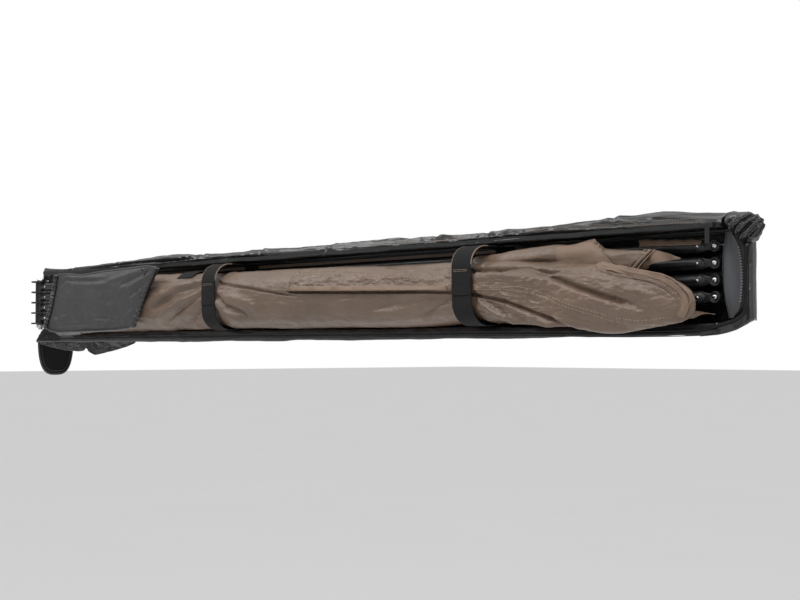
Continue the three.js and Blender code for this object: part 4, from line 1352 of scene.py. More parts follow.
def make_pouch():
    low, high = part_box("peg_pouch")
    mid = (low.y + high.y) / 2 - 0.002
    front = pouch_panel(-1, 0.0125, mid, 0.0025)
    back = pouch_panel(1, 0.0005, mid, 0.0035)
    x, z = front[..., 0], front[..., 2]
    u = (x - x.min()) / (x.max() - x.min())
    v = (high.z - z) / (high.z - low.z)
    depth = np.zeros(x.shape)

    def crease(a, b, height, width):
        (ax, az), (bx, bz) = a, b
        dx, dz = bx - ax, bz - az
        size = math.hypot(dx, dz)
        t = np.clip(((x - ax) * dx + (z - az) * dz) / size ** 2, 0, 1)
        off = np.hypot(x - ax - t * dx, z - az - t * dz)
        return height * np.exp(-(off / width) ** 2) * ease01(np.minimum(t, 1 - t) / 0.3 + 0.15)

    for a, b, height, width in (
            ((-425, 58), (-560, 22), -0.004, 0.0045), ((-430, 48), (-530, 12), 0.0034, 0.0055),
            ((-440, 34), (-520, -4), -0.003, 0.005), ((-470, 58), (-620, 34), 0.0026, 0.006),
            ((-840, 52), (-620, 46), 0.0026, 0.004), ((-830, 44), (-640, 36), -0.003, 0.004),
            ((-780, 32), (-600, 28), 0.0018, 0.007), ((-850, 30), (-800, 52), -0.0026, 0.004),
            ((-905, -60), (-790, -44), 0.0026, 0.005), ((-895, -68), (-700, -66), -0.003, 0.005),
            ((-880, -40), (-820, -58), -0.0022, 0.004), ((-760, -76), (-620, -70), 0.0022, 0.004),
            ((-700, -50), (-560, -56), -0.0024, 0.005), ((-560, -66), (-500, -34), 0.0026, 0.006),
            ((-480, -20), (-470, 20), -0.002, 0.005), ((-640, -78), (-590, -48), 0.002, 0.005)):
        depth += crease(mm(*a), mm(*b), height, width)
    depth *= 1.7
    depth += 0.0026 * ripple(front, (8, 1, 14), 3) + 0.0009 * ripple(front, (30, 1, 44), 3, "ridged")
    hold = np.power(np.clip(np.sin(math.pi * u), 0, 1) * np.clip(np.sin(math.pi * v), 0, 1), 0.4)
    front[..., 1] -= depth * hold
    rings = np.concatenate([front, back[:, ::-1]], axis=1)
    pouch = skin("peg_pouch_cloth", rings)
    mount(pouch, "arm_4", "pouch_cloth", "peg_pouch")
    row = np.arange(POUCH_ROWS)
    wander = 0.0012 * np.sin(row * 0.9) + 0.0008 * np.sin(row * 2.3 + 1)
    side = np.array((0.0065, 0, 0))
    edges = [rod("rear_band", front[0] - side + (0, -0.0005, 0), 0.0082 + wander, 14, 0.6),
             rod("front_band", front[-1] + side * 0.3 + (0, -0.0015, 0), 0.0064 + wander * 0.7, 14, 0.6),
             rod("top_band", front[:, 0] + (0, 0.001, 0.001), 0.0026, 10),
             rod("bottom_band", front[:, -1] + (0, -0.0012, 0.0022), 0.0052, 14, 0.6)]
    loop_mid = Vector(front[180, 8])
    ring = [loop_mid + Vector((0.009 * math.cos(a), -0.003, 0.009 * math.sin(a)))
            for a in np.linspace(-2.4, 2.4, 24)]
    edges.append(rod("pouch_loop", ring, 0.0012, 8))
    trim = merged("peg_pouch_piping", edges)
    mount(trim, "arm_4", "pouch_cloth", finish="bag_vinyl")
    for obj in (pouch, trim):
        canopy_squash(obj)


# Hub, arms and legs

def ends_of(node):
    """Both ends of a CAD solid along X, in millimetres."""
    low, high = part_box(node)
    return low.x * 1000, high.x * 1000


def tube(name, node, y, z, bore, radius, ease):
    """A tube along X with eased rims."""
    start, end = ends_of(node)
    return hollow(name, "X", (0, y, z), [
        (bore, start), (radius - ease, start), (radius, start + ease),
        (radius, end - ease), (radius - ease, end), (bore, end)])


def make_hub(metal):
    comb = eased_copy("hub_bracket", "hub_comb", metal.edge_ease)
    mount(comb, "root", "powder_coat", "hub_bracket")
    low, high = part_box("hub_pin")
    tail, top = low.z * 1000, high.z * 1000
    pin = turned("hub_pin_steel", "Z", (HUB_X, ARM_Y, 0), [
        (0.01, tail), (4.8, tail), (6, tail + 1.2), (6, top - 7), (9.3, top - 7),
        (10, top - 6.3), (10, top - 3.4), (8.8, top - 1.3), (5.6, top - 0.3), (0.01, top)])
    mount(pin, "root", "zinc_steel", "hub_pin")
    nut = eased_copy("hub_nut", "hub_nut_steel", metal.edge_ease)
    mount(nut, "root", "zinc_steel", "hub_nut")


def eye_piece(name, y, z, reach, sleeve_r):
    """A moulded end: a ringed eye, a tapered neck and the shoulder at the tube's end."""
    near, far = y * 1000 - 4, y * 1000 + 4
    ring = hollow(f"{name}_ring", "Y", (TIP_X, 0, z), [
        (3.3, near + 2.0), (5.4, near + 2.0), (6.4, near + 1.5), (7.2, near + 0.3),
        (8.0, near - 0.6), (9.0, near - 0.8), (9.8, near - 0.1), (10.1, near + 1.0),
        (10.1, far - 1.0), (9.6, far), (7.6, far), (6.9, far - 0.7), (3.3, far - 0.7)])
    x = TIP_X - reach
    outline = [(z + 0.0096, x + 0.002), (z + 0.0088, x + 0.009), (z + 0.007, x + 0.016),
               (z + 0.0066, TIP_X - 0.007), (z - 0.0066, TIP_X - 0.007),
               (z - 0.007, x + 0.016), (z - 0.0088, x + 0.009), (z - 0.0096, x + 0.002)]
    neck = slab(f"{name}_neck", outline, "Y", y - 0.0044, y + 0.0036, 0.0016, 3)
    end = x * 1000
    sleeve = turned(f"{name}_sleeve", "X", (0, y, z), [
        (0.01, end - 14), (sleeve_r - 2.4, end - 14), (sleeve_r - 2.4, end + 0.2),
        (sleeve_r - 0.5, end + 0.2), (sleeve_r, end + 0.7), (sleeve_r, end + 3.6),
        (sleeve_r - 0.8, end + 5.4), (sleeve_r - 2.8, end + 8.6), (sleeve_r - 5.6, end + 11.4),
        (0.01, end + 12)])
    return merged(name, [ring, neck, sleeve])


def rivet(name, x, y, z, radius):
    face = y * 1000
    return turned(name, "Y", (x, 0, z), [
        (0.01, face - 1.5), (radius * 0.45, face - 1.35), (radius * 0.8, face - 0.95),
        (radius, face - 0.3), (radius, face + 1.2), (0.01, face + 1.2)], 32)


def make_arm(k):
    z = level_z(k)
    body = f"arm_{k}"
    low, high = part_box(f"arm_{k}_knuckle")
    half = (high.z - low.z) / 2 * 1000
    level, hub = z * 1000, HUB_X * 1000
    barrel = hollow(f"arm_{k}_barrel", "Z", (HUB_X, ARM_Y, 0), [
        (6.4, level - half), (13.1, level - half), (14, level - half + 0.9),
        (14, level + half - 0.9), (13.1, level + half), (6.4, level + half)])
    stub = turned(f"arm_{k}_stub", "X", (0, ARM_Y, z), [
        (0.01, hub + 8), (8.7, hub + 8), (8.7, hub + 60), (0.01, hub + 62)])
    mount(merged(f"arm_{k}_joint", [barrel, stub]), body, "powder_coat", f"arm_{k}_knuckle")
    pole = tube(f"arm_{k}_pole", f"arm_{k}_tube", ARM_Y, z, 9, 11, 0.5)
    mount(pole, body, "powder_coat", f"arm_{k}_tube")
    tip = eye_piece(f"arm_{k}_end", ARM_Y, z, 0.03, 11)
    mount(tip, body, "black_nylon", f"arm_{k}_tip")
    face = ARM_Y - 0.011
    rivets = merged(f"arm_{k}_rivets", [
        rivet("rivet_a", TIP_X - 0.0288, face, z, 2.2), rivet("rivet_b", HUB_X + 0.04, face, z, 2.4)])
    mount(rivets, body, "zinc_steel")
    bolt = turned(f"leg_{k}_pivot", "Y", (TIP_X, 0, z), [
        (0.01, -70.4), (2.0, -70.3), (3.4, -69.8), (4.2, -68.8), (4.3, -66.4), (3.1, -66.4),
        (3.1, -59.7), (6.6, -59.7), (7, -59.3), (7, -42.2), (6.6, -41.8), (3.1, -41.8),
        (3.1, -33.2), (5.6, -33.2), (6, -32.8), (6, -29.7), (5.6, -29.3), (0.01, -29.3)])
    mount(bolt, body, "zinc_steel", f"leg_{k}_pivot_bolt")


def make_leg(k):
    z = level_z(k)
    body = f"leg_{k}"
    eye = eye_piece(f"leg_{k}_end", LEG_Y, z, 0.026, 10)
    mount(eye, body, "black_nylon", f"leg_{k}_eye")
    outer = tube(f"leg_{k}_upper_pole", f"leg_{k}_outer_tube", LEG_Y, z, 8.5, 10, 0.5)
    mount(outer, body, "powder_coat", f"leg_{k}_outer_tube")
    start, end = ends_of(f"leg_{k}_lock_collar")
    collar = ribbed(f"leg_{k}_collar", (0, LEG_Y, z), [
        (8.6, start, 0), (10.6, start, 0), (11.8, start + 1.2, 0), (12.2, start + 5, 0),
        (12.4, start + 6, 0.3), (13, start + 7, 1), (13, end - 14, 1), (12.4, end - 13, 0.3),
        (12, end - 11, 0), (12, end - 2, 0), (11.4, end, 0), (10.5, end, 0),
        (10.5, end - 24, 0), (8.6, end - 24, 0)], 20, 0.8)
    mount(collar, f"collar_{k}", "black_nylon", f"leg_{k}_lock_collar")
    inner = tube(f"leg_{k}_lower_pole", f"leg_{k}_inner_tube", LEG_Y, z, 6.5, 8.1, 0.4)
    mount(inner, f"inner_{k}", "powder_coat", f"leg_{k}_inner_tube")
    start, end = ends_of(f"leg_{k}_foot")
    foot = hollow(f"leg_{k}_rubber_foot", "X", (0, LEG_Y, z), [
        (0.05, start), (8.5, start), (10.8, start + 0.8), (11.5, start + 2.4),
        (11.5, start + 9), (10.7, start + 10), (11.4, start + 11), (10.7, start + 14),
        (11.2, start + 15), (10.3, start + 18), (10.1, end - 1), (9.4, end), (8.4, end),
        (8.4, end - 20), (0.05, end - 20)])
    mount(foot, f"inner_{k}", "foot_rubber", f"leg_{k}_foot")


def make_board(metal):
    board = eased_copy("backboard", "backboard_profile", metal.edge_ease * 0.6)
    mount(board, "root", "powder_coat", "backboard")
    for side in ("rear", "front"):
        bracket = eased_copy(f"mount_bracket_{side}", f"bracket_{side}", metal.edge_ease)
        mount(bracket, "root", "powder_coat", f"mount_bracket_{side}")
        bolt = eased_copy(f"bracket_bolt_{side}", f"bracket_t_bolt_{side}", metal.edge_ease * 0.6)
        mount(bolt, "root", "zinc_steel", f"bracket_bolt_{side}")


# Bag

LIP_TOP = points_mm((-1085, -98), (-1070, -92), (-1050, -90), (-865, -89), (-620, -84),
    (-237, -83), (32, -85), (344, -87), (614, -86), (759, -91), (906, -97), (1000, -97),
    (1057, -95.5), (1088, -89.5))
LIP_LOW = points_mm((-1085, -110), (-955, -110), (-500, -112), (0, -111), (616, -110),
    (849, -108.5), (1057, -107), (1088, -104.3))


def teeth(name, path, facing, pitch, size):
    """A row of zip teeth along a path, each a small block of the given size."""
    path, facing = np.asarray(path, float), np.asarray(facing, float)
    run = run_along(path)
    long, wide, tall = size
    points, faces = [], []
    for s in np.arange(pitch, run[-1] - pitch, pitch):
        at = at_run(path, run, s)
        t = unit(at_run(path, run, s + pitch * 0.5) - at)
        side = unit(np.cross(t, facing))
        base = len(points)
        for up, grow in ((0.0, 1.0), (tall * 0.6, 1.0), (tall, 0.55)):
            for a, b in ((-1, -1), (1, -1), (1, 1), (-1, 1)):
                points.append(at + t * a * long / 2 * grow + side * b * wide / 2 * grow + facing * up)
        faces += [tuple(base + i for i in f) for f in grid_faces(3, 4, True)]
        faces += [(base + 3, base + 2, base + 1, base), (base + 8, base + 9, base + 10, base + 11)]
    return outward(piece(name, points, faces))


def make_tray(bag):
    xs = np.linspace(-1.0842, 1.0877, 300)
    top, low = at_x(LIP_TOP, xs), at_x(LIP_LOW, xs)
    grid = np.zeros((len(xs), 110, 3))
    grid[..., 0] = xs[:, None]
    for row, z_top, z_low in zip(grid, top, low):
        row[:, 1:] = smooth_section([
            (-0.023, 0.05), (-0.023, -0.087), (-0.066, -0.0872), (-0.1035, -0.087),
            (-0.107, z_top - 0.001), (-0.109, z_top + 0.0005), (-0.1112, z_top - 0.004),
            (-0.1122, (z_top + z_low) / 2), (-0.1114, z_low + 0.002), (-0.1095, z_low),
            (-0.108, z_low + 0.006)], 110, 3)
    outer = ease01((-grid[..., 1] - 0.1) / 0.006)
    wave = ripple(grid, (6, 20, 22), 4)
    fine = ripple(grid, (26, 40, 50), 3, "ridged")
    grid[..., 2] += outer * (0.0022 * ripple(grid * (1, 0, 0), (7, 1, 1), 3))
    grid[..., 1] -= outer * (0.0022 * wave + 0.0008 * fine + 0.0006)
    grid[..., 1] += outer * 0.0045 * ease01((grid[..., 0] - 1.045) / 0.043)
    inside = 1 - outer
    grid[..., 2] += inside * 0.0004 * wave * (grid[..., 1] < -0.03)
    shell = cloth("bag_tray_cloth", grid, bag.cloth_thickness)
    mount(shell, "root", "bag_vinyl", "bag_tray")
    tree = tree_of(shell)
    kept = []
    for x, z in zip(xs[4:-4], (top * 0.45 + low * 0.55)[4:-4]):
        spot, _ = on_front(tree, x, z, 0.0004)
        kept.append(spot if spot is not None else Vector((x, -0.113, z)))
    kept = evened(np.array(kept), 3)
    row = teeth("tray_zip_teeth", kept + (0, 0.0002, 0), (0, -1, 0), 0.0027, (0.0015, 0.0034, 0.0013))
    welt = [rod("welt", kept + (0, -0.0002, s * 0.0042), 0.0007, 8) for s in (-1, 1)]
    mount(merged("tray_zip", [row] + welt), "root", "black_nylon")


def make_lip_tuck(bag):
    """The crumpled end of the lip, tucked up beside the pouch's lower corner."""
    u, v = unit_grid(70, 40)
    top = np.interp(u, [0, 0.12, 0.3, 0.55, 0.8, 1],
                    [-0.093, -0.08, -0.07, -0.073, -0.082, -0.092])
    grid = grid_of(-1.08 + 0.115 * u + 0.006 * v, -0.115 + 0.004 * v, -0.104 + (top + 0.104) * v)
    crumple = 0.005 * ripple(grid, (30, 1, 50), 3, "ridged")
    grid[..., 1] -= crumple * np.sin(math.pi * u) * ease01(v / 0.3)
    tuck = cloth("lip_end_tuck", grid, bag.cloth_thickness)
    mount(tuck, "root", "bag_vinyl", finish="webbing")


WALL = points_mm(  # x, y, low z, high z
    (1088.8, 0.6, -81, 56), (1104, -25, -80.5, 55), (1121, -52, -80.2, 53),
    (1128.6, -65, -79.8, 50), (1129.6, -75, -83, 44), (1128, -83, -87, 38.5),
    (1127.6, -84.5, -87.8, 20), (1127.4, -85, -88, -56), (1126, -87.6, -89.4, -71),
    (1116, -97, -96.8, -81.7), (1103, -104, -101.4, -86), (1090, -107.4, -104.2, -89.8),
    (1057, -109.6, -106.6, -95.5))


def make_front_floor(bag, foot):
    """The floor of the bag between the tray's end and the foot of the front wall."""
    tree = tree_of(bpy.data.objects["bag_tray_cloth"])
    inner = foot.copy()
    for spot in inner:
        spot[0], spot[1] = 1.082, min(max(spot[1], -0.108), -0.003)
        hit = tree.ray_cast(Vector((1.082, spot[1], -0.02)), Vector((0, 0, -1)))[0]
        spot[2] = hit.z + 0.0012 if hit is not None and hit.z < -0.06 else -0.0765
    grid = ruled(foot + (0, 0, 0.0006), inner, 14)
    grid[..., 2] -= 0.0015 * np.sin(math.pi * np.linspace(0, 1, 14))
    floor = cloth("front_floor_cloth", grid, bag.cloth_thickness)
    mount(floor, "root", "bag_vinyl")


def make_hinge_bead():
    """The cord sewn in the cover's rear edge, which sits in the board's top channel."""
    path = [(x, -0.0006, 0.0754) for x in np.linspace(-1.066, 1.086, 60)]
    mount(rod("cover_hinge_bead", path, 0.003, 12), "root", "bag_vinyl")


def make_front_end(bag):
    columns = 170
    spine = smooth_section(WALL, columns, 5)
    v = np.linspace(0, 1, 80)[:, None]
    grid = grid_of(spine[:, 0], spine[:, 1], spine[:, 2] * (1 - v) + spine[:, 3] * v)
    rim = int(np.argmax(spine[:, 3] < 0.03))
    turned_in = np.clip(np.arange(columns) / rim, 0, 1)
    grid[..., 0] -= 0.002 * np.sin(math.pi * turned_in) * np.sin(math.pi * v)
    hold = np.minimum(1, np.minimum(v, 1 - v) * 8 + 0.25)
    push = hold * (0.0013 * ripple(grid, (14, 14, 12), 3)
                   + 0.0007 * ripple(grid, (40, 40, 30), 3, "ridged")) - 0.0006
    grid[..., 0] += push * (1 - 0.6 * turned_in)
    grid[..., 1] -= push * (0.3 + 0.7 * turned_in)
    wall = cloth("bag_front_wall", grid, bag.cloth_thickness)
    mount(wall, "root", "bag_vinyl", "bag_front_end")
    make_front_floor(bag, grid[0, spine[:, 0] >= 1.0895])
    r = bag.piping_radius
    trim = merged("bag_front_rim", [
        rod("edge", grid[-1, 6:] + (0.0003, -0.0008, 0.0002), r * 0.85, 12),
        rod("foot", grid[0, rim - 30:] + (0.0004, -0.0004, 0.0004), r * 0.5, 10),
        rod("bead", grid[2:-2, rim - 30] + (0.0008, -0.001, 0), r * 0.4, 10)])
    mount(trim, "root", "bag_vinyl")
    upright = grid[3:-2, rim - 9:rim + 1:3] + (0.001, -0.0014, 0)
    binding = rod("front_rim_binding", grid[-1, rim - 4:] + (0, -0.002, -0.0008), 0.0036, 12, 0.7)
    mount(merged("front_rim_tape", [cloth("front_rim_band", upright, TAPE), binding]), "root", "webbing")
    strip = curve_through(points_mm((1131.5, -78, 41), (1132.5, -80, 32), (1132, -81, 21),
        (1131.2, -80.6, 8)), 24)
    mount(rod("front_pull_tab", strip, 0.0045, 12, 0.5), "root", "black_nylon")


def make_gusset():
    """The grey lined lens at the front end, with the dark zipped strip beside it."""
    zs = np.linspace(-0.0775, 0.0615, 90)
    left, crease, right = (np.interp(zs, *curve_through(line, 200)[:, ::-1].T) for line in (
        points_mm((1083, -78), (1075, -45), (1071, -6), (1072, 30), (1078, 62)),
        points_mm((1088, -78), (1096, -60), (1096.5, -20), (1093, 20), (1085, 62)),
        points_mm((1090, -78), (1107, -60), (1115, -27), (1115.5, 8), (1108, 41), (1088, 62))))
    tall = np.sin(math.pi * np.linspace(0.02, 0.98, 90))[:, None]
    u = np.linspace(0, 1, 22)[None]
    grid = np.zeros((90, 44, 3))
    grid[:, :22, 0] = left[:, None] + (crease - left)[:, None] * u
    grid[:, 22:, 0] = crease[:, None] + (right - crease)[:, None] * (0.04 + 0.46 * u)
    grid[:, :22, 1] = -0.065 - (0.0052 * np.sin(math.pi * u) + 0.0015 * u) * tall
    grid[:, 22:, 1] = -0.0665 + 0.004 * np.sin(math.pi * u / 2) * tall
    grid[..., 2] = zs[:, None]
    grid[..., 1] += 0.001 * ripple(grid, (26, 10, 14), 3) * tall
    lens = cloth("front_gusset_lining", grid, LINING)
    mount(lens, "root", "bag_lining", "front_gusset")
    middle = crease + (right - crease) * 0.46
    t = np.linspace(0, 1, 14)
    tape = grid_of(middle[:, None] + (right - middle)[:, None] * t,
                   -0.064 - 0.003 * np.sin(math.pi * t) * tall, zs[:, None])
    mount(cloth("gusset_zip", tape[3:-3], TAPE), "root", "black_nylon")
    edge = grid_of(middle + (right - middle) * 0.22, -0.0672, zs)[14:-12]
    # These teeth take the lightened nylon finish, painted glints; the tray and cover zips keep the black
    # nylon
    mount(teeth("gusset_teeth", edge, (0, -1, 0), 0.0046, (0.0022, 0.004, 0.0016)),
          "root", "black_nylon", finish="zip_teeth")
    mount(rod("gusset_piping", grid_of(left - 0.0004, -0.0656, zs), 0.0014, 10), "root", "bag_vinyl")


COVER_LAPS = [  # points in millimetres, rise and groove in metres
    (((-1060, 80), (-860, 79), (-620, 85), (-460, 83), (-200, 87), (50, 84), (330, 86), (600, 84),
      (850, 87), (1080, 80)), 0.0042, 0.004),
    (((-1060, 86.5), (-800, 88.5), (-550, 92.5), (-300, 89), (0, 92.5), (280, 89), (520, 92.5),
      (800, 94.5), (1080, 86.5)), 0.0034, 0.0035),
    (((-920, 74.5), (-700, 76.5), (-500, 74.5), (-280, 79), (-20, 76)), 0.003, 0.003),
    (((220, 77), (420, 74.5), (660, 79), (900, 75), (1060, 73.5)), 0.003, 0.003),
    (((-550, 96.5), (-350, 94.5), (-100, 97)), 0.0024, 0.003),
    (((550, 98.5), (740, 96), (970, 99)), 0.0024, 0.003),
]
COVER_DROP = [  # x in metres, drop in millimetres
    (-1.08, 2), (-1.02, 7), (-0.96, 9), (-0.9, 7), (-0.84, 5), (-0.78, 3.5), (-0.72, 3),
    (-0.66, 2.5), (-0.54, 1), (-0.48, 2), (-0.42, 5.5), (-0.36, 10), (-0.3, 11), (-0.24, 10),
    (-0.18, 8), (-0.06, 8.5), (0.06, 9.5), (0.18, 11), (0.3, 12), (0.36, 14), (0.42, 13),
    (0.48, 15), (0.54, 12), (0.6, 10), (0.66, 12), (0.72, 12), (0.78, 8), (0.84, 5.5), (0.9, 5),
    (0.96, 1), (1.02, 6), (1.08, 11)]
COVER_KINKS = [(-0.93, 1), (-0.71, -1), (-0.37, 1), (-0.12, -1), (0.1, 1), (0.41, 1), (0.57, -1),
               (0.88, -1)]
COVER_ROW = [(0.24, 0.0805), (0.45, 0.079), (0.66, 0.083), (0.86, 0.0795), (1.05, 0.0775)]
COVER_SWEEPS = [  # points in millimetres, height and width in metres
    (((-560, 84), (-460, 92), (-300, 88), (-180, 90)), 0.0035, 0.005),
    (((-330, 74), (-120, 84), (60, 80), (180, 84)), 0.003, 0.005),
    (((60, 90), (240, 84), (420, 88), (560, 80)), 0.003, 0.005),
    (((620, 74), (760, 86), (900, 92), (1050, 84)), 0.0034, 0.006),
    (((700, 92), (820, 96), (960, 88), (1080, 78)), -0.003, 0.004),
    (((640, 84), (820, 78), (980, 80), (1080, 72)), 0.0028, 0.004)]


def make_cover(bag):
    rings = stretched(softened(rings_of("bag_cover", 90, 110), 2, 1), 640)
    drop = at_x(COVER_DROP, rings[:, 0, 0]) * 0.001
    rings[..., 2] -= drop[:, None] * ease01((rings[..., 2] - 0.068) / 0.022)
    relief = Relief(rings)
    relief.depth -= 0.0008
    for line, rise, groove in COVER_LAPS:
        relief.lap(points_mm(*line), rise, 0.01, groove, 0.0016, open_start=False)
    for x, lean in COVER_KINKS:
        line = [(x - lean * 0.02, 0.066), (x, 0.08), (x + lean * 0.034, 0.102)]
        relief.fold(line, -bag.crumple * 0.9, 0.0042, True, True)
        relief.fold(moved(line, 0.01, 0), bag.crumple * 0.5, 0.007, True, True)
    for line, height, width in COVER_SWEEPS:
        relief.fold(points_mm(*line), height, width)
    relief.roughen(bag.crumple * 0.6, (4, 16, 30), 4)
    relief.roughen(bag.crumple * 0.26, (16, 50, 90), 3, "ridged")
    cover = relief.done("bag_cover_cloth")
    mount(cover, "cover", "bag_vinyl", "bag_cover")
    tree = tree_of(cover)
    rows = [stitches(f"cover_row_{shift}", tree, moved(COVER_ROW, 0, shift),
                     0.0055, 0.004, 0.0004, 0.0002) for shift in (0.0, 0.0065)]
    binding = rod("cover_binding", line_on_front(
        tree, [(0.5, 0.07), (0.75, 0.0725), (0.92, 0.069), (1.07, 0.0715)], 0.005, 0.0004)[0],
        0.0012, 8)
    mount(merged("cover_stitching", rows), "cover", "bag_vinyl", finish="sewing_thread")
    mount(binding, "cover", "bag_vinyl")


def make_track():
    low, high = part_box("cover_zip_track")
    xs = np.linspace(low.x + 0.002, high.x - 0.002, 260)
    wave = 0.0006 * np.sin(xs * 23) + 0.0004 * np.sin(xs * 61 + 1)
    up = (low.z + 0.0012) + (high.z - low.z - 0.0014) * np.linspace(0, 1, 9)
    grid = grid_of(xs[:, None], ((low.y + high.y) / 2 + 0.0003 + wave)[:, None], up + wave[:, None])
    tape = cloth("zip_tape", grid, LINING)
    row = teeth("zip_teeth", grid[:, 1] + (0, -0.0004, 0), (0, -1, 0), 0.0025,
                (0.0014, 0.0032, 0.0012))
    mount(merged("cover_zip", [tape, row]), "cover", "black_nylon", "cover_zip_track")
    slider = eased_copy("zip_slider", "zip_slider_body", 0.0005)
    mount(slider, "slider", "zinc_steel", "zip_slider", finish="powder_coat")


BUNCH = points_mm(  # x, low and high z, back and front y
    (1094, 62, 92, -8, -98), (1108, 58, 91, -22, -97), (1120, 50, 90, -38, -95),
    (1130, 43, 87, -52, -92), (1138, 44, 84, -62, -88), (1145, 52, 82, -66, -84),
    (1152, 64, 78, -68, -80))
BUNCH_EDGES = [
    points_mm((1104, -99, 62), (1116, -96, 72), (1126, -92, 80), (1136, -84, 86)),
    points_mm((1112, -98, 54), (1124, -93, 64), (1134, -86, 74), (1144, -76, 82)),
    points_mm((1121, -94, 47), (1132, -88, 56), (1141, -80, 67), (1149, -70, 77)),
    points_mm((1130, -88, 42), (1139, -82, 50), (1146, -74, 60), (1152, -64, 70)),
]


def make_bunch(bag):
    rings = stretched(rings_of("cover_end_bunch", 12, 130), 130)
    rings = softened(reshaped(rings, BUNCH, 1.08, 0.015), 2, 1)
    relief = Relief(rings)
    for line, height in zip(BUNCH_EDGES, (0.004, 0.0045, 0.0045, 0.0035)):
        flat = [(x, z) for x, _, z in line]
        relief.fold(flat, height, 0.004, True, True)
        relief.fold(moved(flat, 0.0045, -0.0045), -0.0035, 0.0024, True, True)
    relief.roughen(0.0026, (26, 30, 34), 3)
    relief.roughen(0.0016, (60, 60, 70), 3, "ridged")
    bunch = relief.done("cover_bunch_cloth", 2)
    mount(bunch, "cover", "bag_vinyl", "cover_end_bunch")
    tree = tree_of(bunch)
    bars = []
    for i, line in enumerate(BUNCH_EDGES):
        path = evened(np.array([seated(tree, p, 0.0006) for p in curve_through(line, 60)]), 6)
        radius = 0.0019 + 0.0004 * np.sin(np.arange(len(path)) * 1.9)
        bars.append(rod(f"bunch_edge_{i}", path, radius, 12))
    ring = [(1.11 + 0.006 * math.cos(a), -0.1, 0.074 + 0.006 * math.sin(a))
            for a in np.linspace(-0.3, 5.6, 30)]
    bars.append(rod("bunch_loop", [seated(tree, p, 0.001) for p in ring], 0.0015, 10))
    mount(merged("bunch_binding", bars), "cover", "bag_vinyl")
    u, v = unit_grid(40, 30)
    tuck = grid_of(-1.137 + 0.058 * u, -0.064 + 0.01 * u, 0.0835 - 0.027 * v + 0.002 * u)
    tuck[..., 1] += 0.003 * ripple(tuck, (50, 20, 60), 3, "ridged")
    fold = cloth("cover_rear_tuck", tuck, bag.cloth_thickness)
    mount(fold, "cover", "bag_vinyl", finish="webbing")


CAP_POINTS = 140


def cap_outline():
    """The D of the rear cap in Y and Z, from its front top corner round to the rear one."""
    low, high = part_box("rear_end_cap")
    mid, half = (low.y + high.y) / 2, (high.y - low.y) / 2 - 0.0025
    top, deep = high.z - 0.003, high.z - low.z - 0.0055
    points = []
    for i in range(CAP_POINTS):
        a = math.pi * i / (CAP_POINTS - 1)
        c, s = math.cos(a), math.sin(a)
        y = mid - half * math.copysign(abs(c) ** 0.62, c)
        points.append((y, top - deep * abs(s) ** 0.78))
    return smooth_section(points, CAP_POINTS, 6), mid, top


def make_end_cap(bag):
    outline, mid, top = cap_outline()
    low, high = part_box("rear_end_cap")
    x = (low.x + high.x) / 2
    shut = outline[-1] + (outline[0] - outline[-1]) * np.linspace(0, 1, 32)[1:, None]
    outline = np.concatenate([outline, shut])
    share = np.linspace(0.003, 1, 26)
    centre = np.array([mid, top - 0.046])
    grid = np.zeros((len(outline), len(share), 3))
    grid[..., 1:] = centre + (outline - centre)[:, None, :] * share[None, :, None]
    dish = np.where(share < 0.84, 0.004 * (1 - (share / 0.84) ** 2), 0.0)
    ring = 0.0022 * np.exp(-((share - 0.9) / 0.04) ** 2)
    grid[..., 0] = x - 0.0002 - dish + ring
    grid[..., 0] += 0.0008 * ripple(grid, (1, 22, 22), 3)
    cap = cloth("rear_cap_cloth", grid, bag.cloth_thickness)
    mount(cap, "end_cap", "bag_vinyl", "rear_end_cap", finish="webbing")
    path = np.insert(outline, 0, x, axis=1)
    inner = np.insert(centre + (outline - centre) * 0.86, 0, x + 0.0012, axis=1)
    edge = [(x, low.y + 0.003 + (high.y - low.y - 0.006) * t, top + 0.0006 * math.sin(9 * t))
            for t in np.linspace(0, 1, 30)]
    bars = [rod("cap_rim", path[2:-34], 0.003, 12), rod("cap_seam", inner[3:-34], 0.0013, 8),
            rod("cap_top", edge, 0.0024, 10)]
    mount(merged("rear_cap_rim", bars), "end_cap", "bag_vinyl")


SKIRT_LOW = points_mm((-1083, -112), (-1020, -120), (-950, -128), (-880, -132), (-850, -130),
    (-838, -121), (-826, -132), (-800, -141), (-760, -136), (-700, -128), (-650, -120),
    (-616, -112))


def make_skirt(bag):
    """The loose lower flap that hangs under the tray's lip at the rear."""
    xs = np.linspace(-1.083, -0.616, 170)
    low = evened(at_x(SKIRT_LOW, xs), 3)
    v = np.linspace(0, 1, 34)
    grid = grid_of(xs[:, None], -0.1035 - 0.0012 * v, -0.0895 + (low + 0.0895)[:, None] * v)
    grid[..., 1] += ease01(v / 0.3) * (0.0035 * ripple(grid, (9, 1, 20), 4)
                                       + 0.0014 * ripple(grid, (28, 1, 50), 3, "ridged"))
    skirt = cloth("bag_lower_flap", grid, bag.cloth_thickness)
    mount(skirt, "root", "bag_vinyl")
    mount(rod("flap_hem_bead", grid[2:-2, -1] + (0, -0.0006, 0), 0.0013, 8), "root", "bag_vinyl")


# Stage

